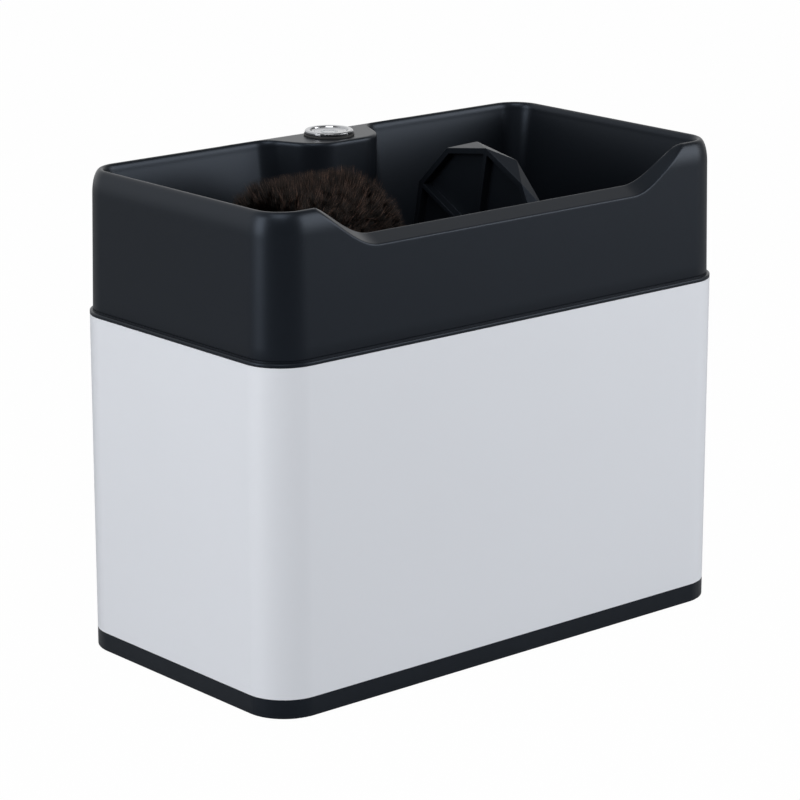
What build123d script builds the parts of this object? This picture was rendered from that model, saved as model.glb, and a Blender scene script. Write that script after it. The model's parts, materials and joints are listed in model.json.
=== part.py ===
from build123d import *
from math import atan, cos, degrees, pi, sqrt, tan
import os

# A household electric shoe brushing machine: a white steel sleeve on a black plinth,
# a black collar with a scooped front lip, and a well that holds a horsehair brush and
# a many-sided wheel on one shaft. A motor low in the casing turns the shaft by a belt.
# Millimetres. X runs left to right, Y front to back, Z up; the origin is bottom centre.

# ---- driving sizes: casing -------------------------------------------------------
width = 380.0
depth = 203.4
casing_corner = 27.7
rim_height = 311.9
seam_height = 219.8
plinth_top = 13.0
plinth_edge = 1.0
foot_proud = 0.6
sheet = 1.5
tray_wall = 3.0
tray_floor = 3.9
tray_spigot = 10.0
slip = 0.3
screw_slack = 0.1

# ---- driving sizes: collar -------------------------------------------------------
collar_wall = 3.0
bead_height = 2.5
groove_height = 1.0
groove_inset = 1.8
skirt_inset = 2.0
shoulder_inset = 3.4
shoulder_drop = 16.0
ridge_inset = 9.0
lip_inset = 11.5
lip_drop = 5.0
knee_inset = 14.0
knee_drop = 22.0
well_inset = 17.5
collar_spigot = 12.0
scoop_height = 282.7
scoop_flat = 212.0
scoop_mouth = 334.0
scoop_slope = 0.52
lobe_front_setback = 46.2
lobe_front_half = 26.5
lobe_base_half = 42.2
lobe_base_setback = 12.0
lobe_corner = 24.0
lobe_fairing = 15.0
lobe_shoulder = 58.0
lobe_edge = 1.0

# ---- driving sizes: brush well and its screws ------------------------------------
well_wall = 2.5
well_flange = 3.0
brush_clearance = 18.3
boss_diameter = 10.6
boss_depth = 20.0
case_screw = 3.2
case_screw_head = 6.4
case_screw_reach = 12.0
rod_diameter = 8.0
rod_margin = 1.0

# ---- driving sizes: shaft, bearings and belt -------------------------------------
shaft_height = 247.3
shaft_diameter = 10.0
bearing_width = 8.0
race_wall = 2.2
ball_diameter = 4.6
ball_slack = 0.1
balls_per_bearing = 7
bearing_pitch_step = 4.0
pedestal_half_length = 34.0
pedestal_cap_wall = 2.5
pedestal_flare = 3.0
ear_margin = 13.0
belt_width = 10.0
belt_thickness = 2.2
belt_gap = 0.3
shaft_pulley_radius = 10.5
motor_pulley_radius = 7.5
pulley_flange = 2.0
pulley_rim = 2.8
belt_room = 0.9
fit = 0.05

# ---- driving sizes: brush and wheel ----------------------------------------------
brush_centre = -76.2
brush_width = 74.8
brush_radius = 61.0
brush_end_round = 8.0
core_width = 64.0
core_radius = 24.0
clamp_plate = 3.0
clamp_radius = 27.0
wheel_left = 58.0
wheel_thickness = 10.0
wheel_radius = 62.3
wheel_sides = 10
wheel_turn = 10.0
wheel_rim = 4.0
wheel_recess = 6.0
wheel_ribs = 5
rib_thickness = 3.0
hub_radius = 12.0
thread_diameter = 8.0
nut_across = 13.0
nut_height = 6.5

# ---- driving sizes: motor --------------------------------------------------------
motor_radius = 44.0
motor_length = 96.0
motor_left = 24.0
motor_lift = 26.0
motor_shaft_diameter = 8.0
shield_thickness = 8.0
air_gap = 0.8
rotor_radius = 24.0
fan_radius = 38.0
saddle_width = 14.0
damper_height = 8.0

# ---- driving sizes: push button --------------------------------------------------
button_y = 77.5
bezel_diameter = 31.7
bezel_lip = 2.3
gasket_diameter = 33.0
gasket_height = 1.5
barrel_diameter = 24.6
barrel_length = 34.0
dish_diameter = 23.5
button_travel = 1.5
button_gap = 0.3

# ---- derived sizes ---------------------------------------------------------------
shaft_radius = shaft_diameter / 2
bearing_pitch = shaft_radius + bearing_pitch_step
bearing_radius = bearing_pitch + bearing_pitch_step
cap_radius = bearing_radius + pedestal_cap_wall
well_floor = shaft_height - brush_radius - brush_clearance
well_underside = well_floor - well_wall
spigot_inset = sheet + slip
spigot_bore_inset = skirt_inset + collar_wall
flange_inset = spigot_bore_inset + 2 * slip
cavity_inset = well_inset - collar_wall
motor_height = foot_proud + tray_floor + motor_lift + motor_radius
lobe_front = depth / 2 - lobe_front_setback
lobe_base = depth / 2 - lobe_base_setback
ear_reach = cap_radius + (lobe_front - cap_radius - ear_margin) / 2
pedestal_foot = 2 * (ear_reach + pedestal_flare)
tray_deck = foot_proud + tray_floor
hidden = 1.0

shaft_axis = Axis((0, 0, shaft_height), (1, 0, 0))
shaft_side = Plane(origin=(0, 0, shaft_height), x_dir=(1, 0, 0), z_dir=(0, -1, 0))
motor_axis = Axis((0, 0, motor_height), (1, 0, 0))
motor_side = Plane(origin=(0, 0, motor_height), x_dir=(1, 0, 0), z_dir=(0, -1, 0))
button_axis = Axis((0, button_y, 0), (0, 0, 1))
button_side = Plane(origin=(0, button_y, 0), x_dir=(1, 0, 0), z_dir=(0, -1, 0))


# ---- shared sketches -------------------------------------------------------------
def casing_outline(height, inset):
    """The rounded rectangle of the casing, drawn in by inset, at a height."""
    with BuildSketch(Plane.XY.offset(height)) as outline:
        RectangleRounded(width - 2 * inset, depth - 2 * inset, casing_corner - inset)
    return outline.sketch


def discs(height, radius, places):
    """Equal circles at the given places, at a height."""
    with BuildSketch(Plane.XY.offset(height)) as circles:
        with Locations(*places):
            Circle(radius)
    return circles.sketch


def section(plane, *corners):
    """A straight-sided section through the given corners."""
    with BuildSketch(plane) as shape:
        with BuildLine():
            Polyline(*corners, close=True)
        make_face()
    return shape.sketch


def band(plane, start, end, inner, outer):
    """The section of a plain ring: from start to end along it, inner to outer radius."""
    return section(plane, (start, inner), (end, inner), (end, outer), (start, outer))


def side_block(plane_x, low, high, half_low, half_high):
    """A tapering block seen along X: half widths at its low and high ends."""
    return section(
        Plane.YZ.offset(plane_x),
        (-half_low, low), (half_low, low), (half_high, high), (-half_high, high),
    )


def mirrored(x, y):
    """The four places that mirror one place in both middle planes."""
    return [(x, y), (-x, y), (x, -y), (-x, -y)]


def lobe_shape(height, inset):
    """The button lobe seen from above, drawn in by inset: a rounded front that widens back
    to its base, and past the base straight back to the casing's outline."""
    lean = atan((lobe_base_half - lobe_front_half) / (lobe_base - lobe_front))
    front_half = lobe_front_half + inset * (tan(lean) - 1 / cos(lean))
    base_half = lobe_base_half - inset / cos(lean)
    with BuildSketch(Plane.XY.offset(height)) as shape:
        with BuildLine():
            Polyline(
                (front_half, lobe_front + inset), (base_half, lobe_base),
                (base_half, depth / 2), (-base_half, depth / 2), (-base_half, lobe_base),
                (-front_half, lobe_front + inset), close=True,
            )
        make_face()
        fillet(
            shape.vertices().filter_by(lambda v: v.Y < lobe_front + inset + hidden),
            lobe_corner - inset,
        )
    return shape.sketch


def write(piece, name):
    """Label a finished piece and write it to its own file."""
    piece.part.label = name
    export_step(piece.part, f"parts/{name}.step")


os.makedirs("parts", exist_ok=True)

# ---- screw, rod and foot places --------------------------------------------------
boss_inset = (spigot_bore_inset + cavity_inset) / 2
boss_rows = [width / 2 - casing_corner - 30, 60]
boss_places = [place for x in boss_rows for place in mirrored(x, depth / 2 - boss_inset)]
boss_places += [(side * (width / 2 - boss_inset), 0) for side in (-1, 1)]
rod_reach = casing_corner - spigot_bore_inset - rod_diameter / 2 - rod_margin
rod_inset = casing_corner - rod_reach / sqrt(2)
rod_places = mirrored(width / 2 - rod_inset, depth / 2 - rod_inset)
foot_inset = 42.0
foot_places = mirrored(width / 2 - foot_inset, depth / 2 - foot_inset)
foot_diameter = 24.0
foot_depth = 5.5
pad_top = foot_depth + tray_floor

# ---- plinth tray -----------------------------------------------------------------
tray_bore_inset = spigot_inset + tray_wall
with BuildPart() as plinth_tray:
    extrude(casing_outline(foot_proud, 0), amount=plinth_top - foot_proud)
    fillet(plinth_tray.faces().sort_by(Axis.Z)[0].edges(), plinth_edge)
    extrude(casing_outline(plinth_top, spigot_inset), amount=tray_spigot)
    extrude(
        casing_outline(tray_deck, tray_bore_inset),
        amount=plinth_top + tray_spigot, mode=Mode.SUBTRACT,
    )
    extrude(discs(tray_deck, foot_diameter / 2 + tray_wall, foot_places), amount=pad_top - tray_deck)
    extrude(discs(tray_deck, rod_diameter / 2 + tray_wall, rod_places), amount=pad_top - tray_deck)
    extrude(
        discs(foot_proud, foot_diameter / 2 + fit, foot_places),
        amount=foot_depth - foot_proud, mode=Mode.SUBTRACT,
    )
    extrude(
        discs(foot_proud, case_screw_head / 2 + 0.3, rod_places),
        amount=foot_depth - foot_proud, mode=Mode.SUBTRACT,
    )
    extrude(
        discs(0, case_screw / 2 + screw_slack, foot_places + rod_places),
        amount=pad_top + hidden, mode=Mode.SUBTRACT,
    )
    with BuildSketch(Plane.XY.offset(foot_proud)):
        with Locations((-40, 0)):
            with GridLocations(11, 0, 7, 1):
                SlotCenterToCenter(52, 4, rotation=90)
    extrude(amount=tray_floor, mode=Mode.SUBTRACT)
write(plinth_tray, "plinth_tray")

# ---- rubber feet and the screws that hold them -----------------------------------
foot_well = 2.6
with BuildPart() as rubber_feet:
    extrude(discs(0, foot_diameter / 2, foot_places), amount=foot_depth)
    extrude(discs(0, case_screw_head / 2 + 0.6, foot_places), amount=foot_well, mode=Mode.SUBTRACT)
    extrude(
        discs(0, case_screw / 2 + screw_slack, foot_places),
        amount=foot_depth, mode=Mode.SUBTRACT,
    )
    chamfer(rubber_feet.edges().filter_by(GeomType.CIRCLE).group_by(Axis.Z)[0].sort_by(
        SortBy.RADIUS)[-len(foot_places):], 0.8)
write(rubber_feet, "rubber_feet")

with BuildPart() as foot_screws:
    extrude(discs(foot_well - 2.0, case_screw_head / 2, foot_places), amount=2.0)
    extrude(discs(foot_well, case_screw / 2, foot_places), amount=pad_top + 2 - foot_well)
write(foot_screws, "foot_screws")

# ---- tie rods from the tray to the well flange -----------------------------------
rod_top = seam_height - well_flange
with BuildPart() as tie_rods:
    with BuildSketch(Plane.XY.offset(pad_top)):
        with Locations(*rod_places):
            RegularPolygon(rod_diameter / 2, 6)
    extrude(amount=rod_top - pad_top)
    extrude(
        discs(pad_top, case_screw / 2 + screw_slack, rod_places),
        amount=case_screw_reach, mode=Mode.SUBTRACT,
    )
    extrude(
        discs(rod_top, case_screw / 2 + screw_slack, rod_places),
        amount=-case_screw_reach, mode=Mode.SUBTRACT,
    )
write(tie_rods, "tie_rods")

with BuildPart() as tie_rod_screws:
    extrude(discs(foot_depth, case_screw_head / 2, rod_places), amount=-2.2)
    extrude(discs(foot_depth, case_screw / 2, rod_places), amount=case_screw_reach)
    extrude(discs(seam_height, case_screw_head / 2, rod_places), amount=2.2)
    extrude(discs(seam_height, case_screw / 2, rod_places), amount=-case_screw_reach)
write(tie_rod_screws, "tie_rod_screws")

# ---- steel body sleeve -----------------------------------------------------------
inlet_x = -120.0
inlet_height = 46.0
inlet_size = (28.0, 20.0)
inlet_flange = (50.0, 24.0)
inlet_screw_step = 20.0
back_wall = depth / 2
back_plane = Plane(origin=(inlet_x, back_wall, inlet_height), x_dir=(-1, 0, 0), z_dir=(0, 1, 0))
with BuildPart() as body_sleeve:
    extrude(casing_outline(plinth_top, 0), amount=seam_height - plinth_top)
    extrude(
        casing_outline(plinth_top, sheet),
        amount=seam_height - plinth_top, mode=Mode.SUBTRACT,
    )
    with BuildSketch(back_plane):
        RectangleRounded(inlet_size[0] + 2 * slip, inlet_size[1] + 2 * slip, 3)
        with GridLocations(2 * inlet_screw_step, 0, 2, 1):
            Circle(case_screw / 2 + screw_slack)
    extrude(amount=-2 * sheet, mode=Mode.SUBTRACT)
write(body_sleeve, "body_sleeve")


# ---- collar ----------------------------------------------------------------------
def casing_path():
    """The casing's outline as one closed run of lines and arcs, from the front middle."""
    half_x, half_y, r = width / 2, depth / 2, casing_corner
    with BuildLine() as run:
        Line((0, -half_y), (half_x - r, -half_y))
        CenterArc((half_x - r, r - half_y), r, -90, 90)
        Line((half_x, r - half_y), (half_x, half_y - r))
        CenterArc((half_x - r, half_y - r), r, 0, 90)
        Line((half_x - r, half_y), (r - half_x, half_y))
        CenterArc((r - half_x, half_y - r), r, 90, 90)
        Line((-half_x, half_y - r), (-half_x, r - half_y))
        CenterArc((r - half_x, r - half_y), r, 180, 90)
        Line((r - half_x, -half_y), (0, -half_y))
    return run.wires()[0]


def wall_inset(height):
    """How far the collar's inner wall stands in from the casing, below its knee."""
    knee = rim_height - knee_drop
    return knee_inset + (well_inset - knee_inset) * (knee - height) / (knee - seam_height)


wall_plane = Plane(origin=(0, -depth / 2, 0), x_dir=(0, 1, 0), z_dir=(1, 0, 0))
shoulder = rim_height - shoulder_drop
groove_low = seam_height + bead_height
groove_high = groove_low + groove_height
cavity_top = scoop_height - collar_wall
lobe_top = rim_height
lobe_trim = depth / 2 - ridge_inset

with BuildSketch(wall_plane) as collar_section:
    with BuildLine():
        Polyline(
            (well_inset, seam_height), (0, seam_height), (0, groove_low),
            (groove_inset, groove_low), (groove_inset, groove_high),
            (skirt_inset, groove_high), (shoulder_inset, shoulder),
        )
        EllipticalCenterArc(
            (ridge_inset, shoulder), ridge_inset - shoulder_inset, shoulder_drop,
            start_angle=90, arc_size=90,
        )
        EllipticalCenterArc(
            (ridge_inset, rim_height - lip_drop), lip_inset - ridge_inset, lip_drop,
            start_angle=0, arc_size=90,
        )
        Polyline(
            (lip_inset, rim_height - lip_drop), (knee_inset, rim_height - knee_drop),
            (well_inset, seam_height),
        )
    make_face()

with BuildSketch(Plane.XY.offset(seam_height)) as lobe_outline:
    add(lobe_shape(seam_height, 0))
    with Locations((0, lobe_base)):
        Rectangle(2 * lobe_shoulder, lobe_base_setback, align=(Align.CENTER, Align.MIN))
    fillet(
        lobe_outline.vertices().filter_by(
            lambda v: abs(abs(v.X) - lobe_base_half) < hidden and abs(v.Y - lobe_base) < hidden
        ),
        lobe_fairing,
    )
    with Locations((0, lobe_trim)):
        Rectangle(
            4 * lobe_shoulder, depth, align=(Align.CENTER, Align.MAX), mode=Mode.INTERSECT,
        )

run_in = 2.0
scoop_plane = Plane(
    origin=(0, -depth / 2 - run_in, -run_in * scoop_slope), x_dir=(1, 0, 0), z_dir=(0, -1, 0)
)
with BuildSketch(scoop_plane) as scoop_outline:
    with BuildLine():
        Line((-scoop_flat / 2, scoop_height), (scoop_flat / 2, scoop_height))
        rise = Spline(
            (scoop_flat / 2, scoop_height), (scoop_mouth / 2, rim_height),
            tangents=((1, 0), (1, 0)),
        )
        Polyline(
            (scoop_mouth / 2, rim_height), (scoop_mouth / 2, rim_height + shoulder_drop),
            (-scoop_mouth / 2, rim_height + shoulder_drop), (-scoop_mouth / 2, rim_height),
        )
        mirror(rise, about=Plane.YZ)
    make_face()

button_neck = 18.5
neck_wall = 2.5
with BuildSketch(Plane.XY.offset(seam_height)) as lobe_pockets:
    add(lobe_shape(seam_height, collar_wall))
    with Locations((0, button_y)):
        Circle(button_neck + neck_wall, mode=Mode.SUBTRACT)
        with PolarLocations(0, 4, start_angle=45):
            Rectangle(4 * button_neck, collar_wall, mode=Mode.SUBTRACT)
    with Locations((0, lobe_trim)):
        Rectangle(
            4 * lobe_shoulder, depth, align=(Align.CENTER, Align.MAX), mode=Mode.INTERSECT,
        )

with BuildPart() as collar:
    extrude(lobe_outline.sketch, amount=lobe_top - seam_height)
    fillet(
        collar.edges().group_by(Axis.Z)[-1].filter_by(
            lambda e: e.center().Y < lobe_base - hidden / 10
        ),
        lobe_edge,
    )
    sweep(collar_section.sketch, path=casing_path())
    extrude(scoop_outline.sketch, amount=knee_inset + 4 * run_in, dir=(0, 1, scoop_slope),
            mode=Mode.SUBTRACT)
    sweep(
        section(
            wall_plane,
            (spigot_bore_inset, seam_height - hidden), (cavity_inset, seam_height - hidden),
            (wall_inset(cavity_top) - collar_wall, cavity_top),
            (shoulder_inset + collar_wall, cavity_top),
        ),
        path=casing_path(), mode=Mode.SUBTRACT,
    )
    extrude(discs(seam_height, boss_diameter / 2, boss_places), amount=boss_depth)
    extrude(
        discs(seam_height, case_screw / 2 + screw_slack, boss_places),
        amount=boss_depth - collar_wall, mode=Mode.SUBTRACT,
    )
    extrude(lobe_pockets.sketch, amount=lobe_top - collar_wall - seam_height, mode=Mode.SUBTRACT)
    extrude(
        discs(seam_height, button_neck, [(0, button_y)]),
        amount=lobe_top - collar_wall - seam_height, mode=Mode.SUBTRACT,
    )
    extrude(
        discs(seam_height, barrel_diameter / 2 + slip, [(0, button_y)]),
        amount=rim_height, mode=Mode.SUBTRACT,
    )
    with BuildSketch(Plane.XY.offset(seam_height - collar_spigot)):
        add(casing_outline(0, spigot_inset))
        add(casing_outline(0, spigot_bore_inset), mode=Mode.SUBTRACT)
    extrude(amount=collar_spigot + hidden)
write(collar, "collar")

# ---- brush well ------------------------------------------------------------------
slot_half_length = belt_width / 2 + pulley_flange + 3
slot_half_width = 15.0
pedestal_screw_places = mirrored(pedestal_half_length - 8, pedestal_foot / 2 - 8)
with BuildSketch(Plane.XY.offset(well_floor)) as well_space:
    add(casing_outline(0, well_inset + well_wall))
    add(lobe_shape(0, 0), mode=Mode.SUBTRACT)
with BuildSketch(Plane.XY.offset(well_underside)) as lobe_hollow:
    add(lobe_shape(0, well_wall))
    with Locations((0, depth / 2 - well_inset - well_wall)):
        Rectangle(
            4 * lobe_shoulder, depth, align=(Align.CENTER, Align.MAX), mode=Mode.INTERSECT,
        )
with BuildPart() as brush_well:
    extrude(casing_outline(well_underside, well_inset), amount=seam_height - well_underside)
    extrude(casing_outline(seam_height, flange_inset), amount=-well_flange)
    extrude(well_space.sketch, amount=seam_height, mode=Mode.SUBTRACT)
    extrude(
        lobe_hollow.sketch, amount=rod_top - well_underside, mode=Mode.SUBTRACT,
    )
    extrude(
        discs(rod_top, button_neck - neck_wall, [(0, button_y)]),
        amount=well_flange, mode=Mode.SUBTRACT,
    )
    extrude(
        discs(rod_top, case_screw / 2 + screw_slack, boss_places + rod_places),
        amount=well_flange, mode=Mode.SUBTRACT,
    )
    extrude(
        discs(well_underside, case_screw / 2 + screw_slack, pedestal_screw_places),
        amount=well_wall, mode=Mode.SUBTRACT,
    )
    with BuildSketch(Plane.XY.offset(well_underside)):
        Rectangle(2 * slot_half_length, 2 * slot_half_width)
    extrude(amount=well_wall, mode=Mode.SUBTRACT)
write(brush_well, "brush_well")

with BuildPart() as collar_screws:
    extrude(discs(rod_top, case_screw_head / 2, boss_places), amount=-2.2)
    extrude(discs(rod_top, case_screw / 2, boss_places), amount=case_screw_reach)
write(collar_screws, "collar_screws")

# ---- steel plate under the well floor --------------------------------------------
plate_thickness = 2.5
plate_size = (130.0, 100.0)
with BuildPart() as support_plate:
    with BuildSketch(Plane.XY.offset(well_underside - plate_thickness)):
        RectangleRounded(*plate_size, 6)
        Rectangle(2 * slot_half_length, 2 * slot_half_width, mode=Mode.SUBTRACT)
        with Locations(*pedestal_screw_places):
            Circle(case_screw / 2 + screw_slack, mode=Mode.SUBTRACT)
    extrude(amount=plate_thickness)
write(support_plate, "support_plate")

# ---- bearing pedestal, split at the shaft's height -------------------------------
cheek_inner = belt_width / 2 + pulley_flange + 3
ear_thickness = 5.0
seat_start = pedestal_half_length - bearing_width
belt_radius = shaft_pulley_radius + belt_gap + belt_thickness
cap_bore = max(belt_radius, shaft_pulley_radius + pulley_rim) + belt_room
through_radius = shaft_radius + race_wall - 0.5


def pedestal_bores():
    """Sections of the two bearing seats and of the bore between them, to be turned."""
    with BuildSketch(shaft_side) as bores:
        with Locations(((seat_start + pedestal_half_length) / 2, bearing_radius / 2),
                       (-(seat_start + pedestal_half_length) / 2, bearing_radius / 2)):
            Rectangle(bearing_width, bearing_radius)
        with Locations((0, (through_radius + 2) / 2)):
            Rectangle(2 * pedestal_half_length, through_radius + 2)
    return bores.sketch


cap_screw_places = mirrored(seat_start - 5, (bearing_radius + ear_reach) / 2 + 1)
with BuildPart() as bearing_pedestal:
    extrude(
        side_block(0, well_floor, shaft_height, pedestal_foot / 2, ear_reach),
        amount=pedestal_half_length, both=True,
    )
    extrude(
        side_block(0, well_floor, shaft_height, slot_half_width, cap_bore),
        amount=cheek_inner, both=True, mode=Mode.SUBTRACT,
    )
    revolve(pedestal_bores(), axis=shaft_axis, mode=Mode.SUBTRACT)
    extrude(
        discs(well_floor, case_screw / 2 + screw_slack, pedestal_screw_places),
        amount=case_screw_reach, mode=Mode.SUBTRACT,
    )
    extrude(
        discs(shaft_height, case_screw / 2 + screw_slack, cap_screw_places),
        amount=-case_screw_reach, mode=Mode.SUBTRACT,
    )
write(bearing_pedestal, "bearing_pedestal")

with BuildPart() as bearing_cap:
    with BuildSketch(Plane.YZ):
        with Locations((0, shaft_height)):
            Circle(cap_radius)
        with Locations((0, shaft_height)):
            Rectangle(2 * ear_reach, ear_thickness, align=(Align.CENTER, Align.MIN))
            Rectangle(4 * ear_reach, 2 * cap_radius, align=(Align.CENTER, Align.MIN),
                      mode=Mode.INTERSECT)
    extrude(amount=pedestal_half_length, both=True)
    with BuildSketch(Plane.YZ):
        with Locations((0, shaft_height)):
            Circle(cap_bore)
    extrude(amount=cheek_inner, both=True, mode=Mode.SUBTRACT)
    revolve(pedestal_bores(), axis=shaft_axis, mode=Mode.SUBTRACT)
    extrude(
        discs(shaft_height, case_screw / 2 + screw_slack, cap_screw_places),
        amount=ear_thickness, mode=Mode.SUBTRACT,
    )
write(bearing_cap, "bearing_cap")

with BuildPart() as pedestal_screws:
    extrude(
        discs(well_underside - plate_thickness, case_screw_head / 2, pedestal_screw_places),
        amount=-2.2,
    )
    extrude(
        discs(well_underside - plate_thickness, case_screw / 2, pedestal_screw_places),
        amount=case_screw_reach,
    )
    extrude(
        discs(shaft_height + ear_thickness, case_screw_head / 2, cap_screw_places), amount=2.2
    )
    extrude(
        discs(shaft_height + ear_thickness, case_screw / 2, cap_screw_places),
        amount=-case_screw_reach,
    )
write(pedestal_screws, "pedestal_screws")

# ---- ball bearings ---------------------------------------------------------------
race_groove = ball_diameter / 2 + ball_slack
bearing_middles = [
    side * (pedestal_half_length - bearing_width / 2) for side in (-1, 1)
]


def race_section(inner, outer):
    """Sections of one ring of both bearings, with the ball groove cut out."""
    with BuildSketch(shaft_side) as rings:
        for middle in bearing_middles:
            with Locations((middle, (inner + outer) / 2)):
                Rectangle(bearing_width, outer - inner)
            with Locations((middle, bearing_pitch)):
                Circle(race_groove, mode=Mode.SUBTRACT)
    return rings.sketch


with BuildPart() as bearing_outer_rings:
    revolve(race_section(bearing_radius - race_wall, bearing_radius), axis=shaft_axis)
write(bearing_outer_rings, "bearing_outer_rings")

with BuildPart() as bearing_inner_rings:
    revolve(race_section(shaft_radius + fit, shaft_radius + race_wall), axis=shaft_axis)
write(bearing_inner_rings, "bearing_inner_rings")

with BuildPart() as bearing_balls:
    for middle in bearing_middles:
        with Locations(Plane(origin=(middle, 0, shaft_height), x_dir=(0, 1, 0), z_dir=(1, 0, 0))):
            with PolarLocations(bearing_pitch, balls_per_bearing):
                Sphere(ball_diameter / 2)
write(bearing_balls, "bearing_balls")

# ---- shaft and what turns with it ------------------------------------------------
brush_left = brush_centre - brush_width / 2
brush_right = brush_centre + brush_width / 2
clamp_left = brush_centre - core_width / 2 - clamp_plate
clamp_right = brush_centre + core_width / 2 + clamp_plate
shoulder_width = 4.0
shoulder_radius = shaft_radius + 3
washer = 1.5
hub_left = wheel_left - 1.0
hub_right = wheel_left + wheel_thickness + 1.0
nut_left = clamp_left - washer - nut_height
nut_right = hub_right + washer + nut_height
thread_radius = thread_diameter / 2
with BuildPart() as brush_shaft:
    revolve(
        section(
            shaft_side,
            (nut_left - 3, 0), (nut_left - 3, thread_radius - 1), (nut_left - 2, thread_radius),
            (clamp_left, thread_radius), (clamp_left, shaft_radius), (clamp_right, shaft_radius),
            (clamp_right, shoulder_radius), (clamp_right + shoulder_width, shoulder_radius),
            (clamp_right + shoulder_width, shaft_radius),
            (hub_left - shoulder_width, shaft_radius),
            (hub_left - shoulder_width, shoulder_radius), (hub_left, shoulder_radius),
            (hub_left, shaft_radius), (hub_right, shaft_radius), (hub_right, thread_radius),
            (nut_right + 2, thread_radius), (nut_right + 3, thread_radius - 1), (nut_right + 3, 0),
        ),
        axis=shaft_axis,
    )
write(brush_shaft, "brush_shaft")

with BuildPart() as shaft_spacers:
    pulley_half = belt_width / 2 + pulley_flange
    for start, end in ((pulley_half, seat_start), (-seat_start, -pulley_half)):
        revolve(
            band(shaft_side, start, end, shaft_radius + fit, through_radius), axis=shaft_axis
        )
write(shaft_spacers, "shaft_spacers")

clip_thickness = 1.0
with BuildPart() as shaft_clips:
    for start in (pedestal_half_length, -pedestal_half_length - clip_thickness):
        revolve(
            band(shaft_side, start, start + clip_thickness, shaft_radius + fit, shaft_radius + 2),
            axis=shaft_axis,
        )
write(shaft_clips, "shaft_clips")


def pulley_section(plane, bore, seat):
    """Section of a flanged belt pulley centred on x = 0."""
    inner, outer = belt_width / 2 + 0.6, belt_width / 2 + pulley_flange
    return section(
        plane,
        (-outer, bore), (outer, bore), (outer, seat + pulley_rim), (inner + 0.6, seat + pulley_rim),
        (inner, seat), (-inner, seat), (-inner - 0.6, seat + pulley_rim),
        (-outer, seat + pulley_rim),
    )


with BuildPart() as shaft_pulley:
    revolve(
        pulley_section(shaft_side, shaft_radius + fit, shaft_pulley_radius), axis=shaft_axis
    )
write(shaft_pulley, "shaft_pulley")


def belt_loop(thickness):
    """The area inside a belt round both pulleys, at a thickness above their seats."""
    with BuildSketch(Plane.YZ.offset(-belt_width / 2)) as loop:
        with Locations((0, shaft_height)):
            Circle(shaft_pulley_radius + belt_gap + thickness)
        with Locations((0, motor_height)):
            Circle(motor_pulley_radius + belt_gap + thickness)
        make_hull()
    return loop.sketch


with BuildPart() as drive_belt:
    extrude(belt_loop(belt_thickness), amount=belt_width)
    extrude(belt_loop(0), amount=belt_width, mode=Mode.SUBTRACT)
write(drive_belt, "drive_belt")

# ---- brush -----------------------------------------------------------------------
core_half = core_width / 2
with BuildPart() as brush_core:
    revolve(
        band(shaft_side, brush_centre - core_half, brush_centre + core_half,
             shaft_radius + fit, core_radius),
        axis=shaft_axis,
    )
write(brush_core, "brush_core")

with BuildPart() as brush_bristles:
    with BuildSketch(shaft_side):
        with BuildLine():
            Polyline(
                (brush_left, brush_radius - brush_end_round), (brush_left, clamp_radius + 4),
                (brush_centre - core_half, clamp_radius), (brush_centre - core_half, core_radius),
                (brush_centre + core_half, core_radius), (brush_centre + core_half, clamp_radius),
                (brush_right, clamp_radius + 4), (brush_right, brush_radius - brush_end_round),
            )
            CenterArc(
                (brush_right - brush_end_round, brush_radius - brush_end_round),
                brush_end_round, 0, 90,
            )
            Line((brush_right - brush_end_round, brush_radius),
                 (brush_left + brush_end_round, brush_radius))
            CenterArc(
                (brush_left + brush_end_round, brush_radius - brush_end_round),
                brush_end_round, 90, 90,
            )
        make_face()
    revolve(axis=shaft_axis)
write(brush_bristles, "brush_bristles")

with BuildPart() as brush_clamp_plates:
    for start in (clamp_left, clamp_right - clamp_plate):
        revolve(
            band(shaft_side, start, start + clamp_plate, shaft_radius + fit, clamp_radius - fit),
            axis=shaft_axis,
        )
write(brush_clamp_plates, "brush_clamp_plates")

# ---- many-sided wheel ------------------------------------------------------------
flat_radius = wheel_radius * cos(pi / wheel_sides)
facet_taper = degrees(atan((wheel_radius - flat_radius) / wheel_thickness))
wheel_right = wheel_left + wheel_thickness
left_face = Plane(origin=(wheel_left, 0, shaft_height), x_dir=(0, 0, 1), z_dir=(1, 0, 0))
right_face = Plane(origin=(wheel_right, 0, shaft_height), x_dir=(0, 0, 1), z_dir=(-1, 0, 0))
half_turn = 180 / wheel_sides
with BuildPart() as wheel_shell:
    with BuildSketch(left_face):
        RegularPolygon(wheel_radius, wheel_sides, rotation=wheel_turn)
    extrude(amount=wheel_thickness, taper=-facet_taper)
    with BuildSketch(right_face):
        RegularPolygon(wheel_radius, wheel_sides, rotation=half_turn - wheel_turn)
    extrude(amount=wheel_thickness, taper=-facet_taper, mode=Mode.INTERSECT)
    with BuildSketch(left_face):
        RegularPolygon(wheel_radius - wheel_rim, wheel_sides, rotation=wheel_turn)
        with PolarLocations(0, wheel_ribs, start_angle=wheel_turn):
            Rectangle(wheel_radius, rib_thickness, align=(Align.MIN, Align.CENTER),
                      mode=Mode.SUBTRACT)
        Circle(hub_radius + collar_wall, mode=Mode.SUBTRACT)
    extrude(amount=wheel_recess, mode=Mode.SUBTRACT)
    with BuildSketch(left_face):
        Circle(hub_radius)
    extrude(amount=wheel_thickness, mode=Mode.SUBTRACT)
write(wheel_shell, "wheel_shell")

with BuildPart() as wheel_hub:
    revolve(
        band(shaft_side, hub_left, hub_right, shaft_radius + fit, hub_radius - fit),
        axis=shaft_axis,
    )
write(wheel_hub, "wheel_hub")

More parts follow.
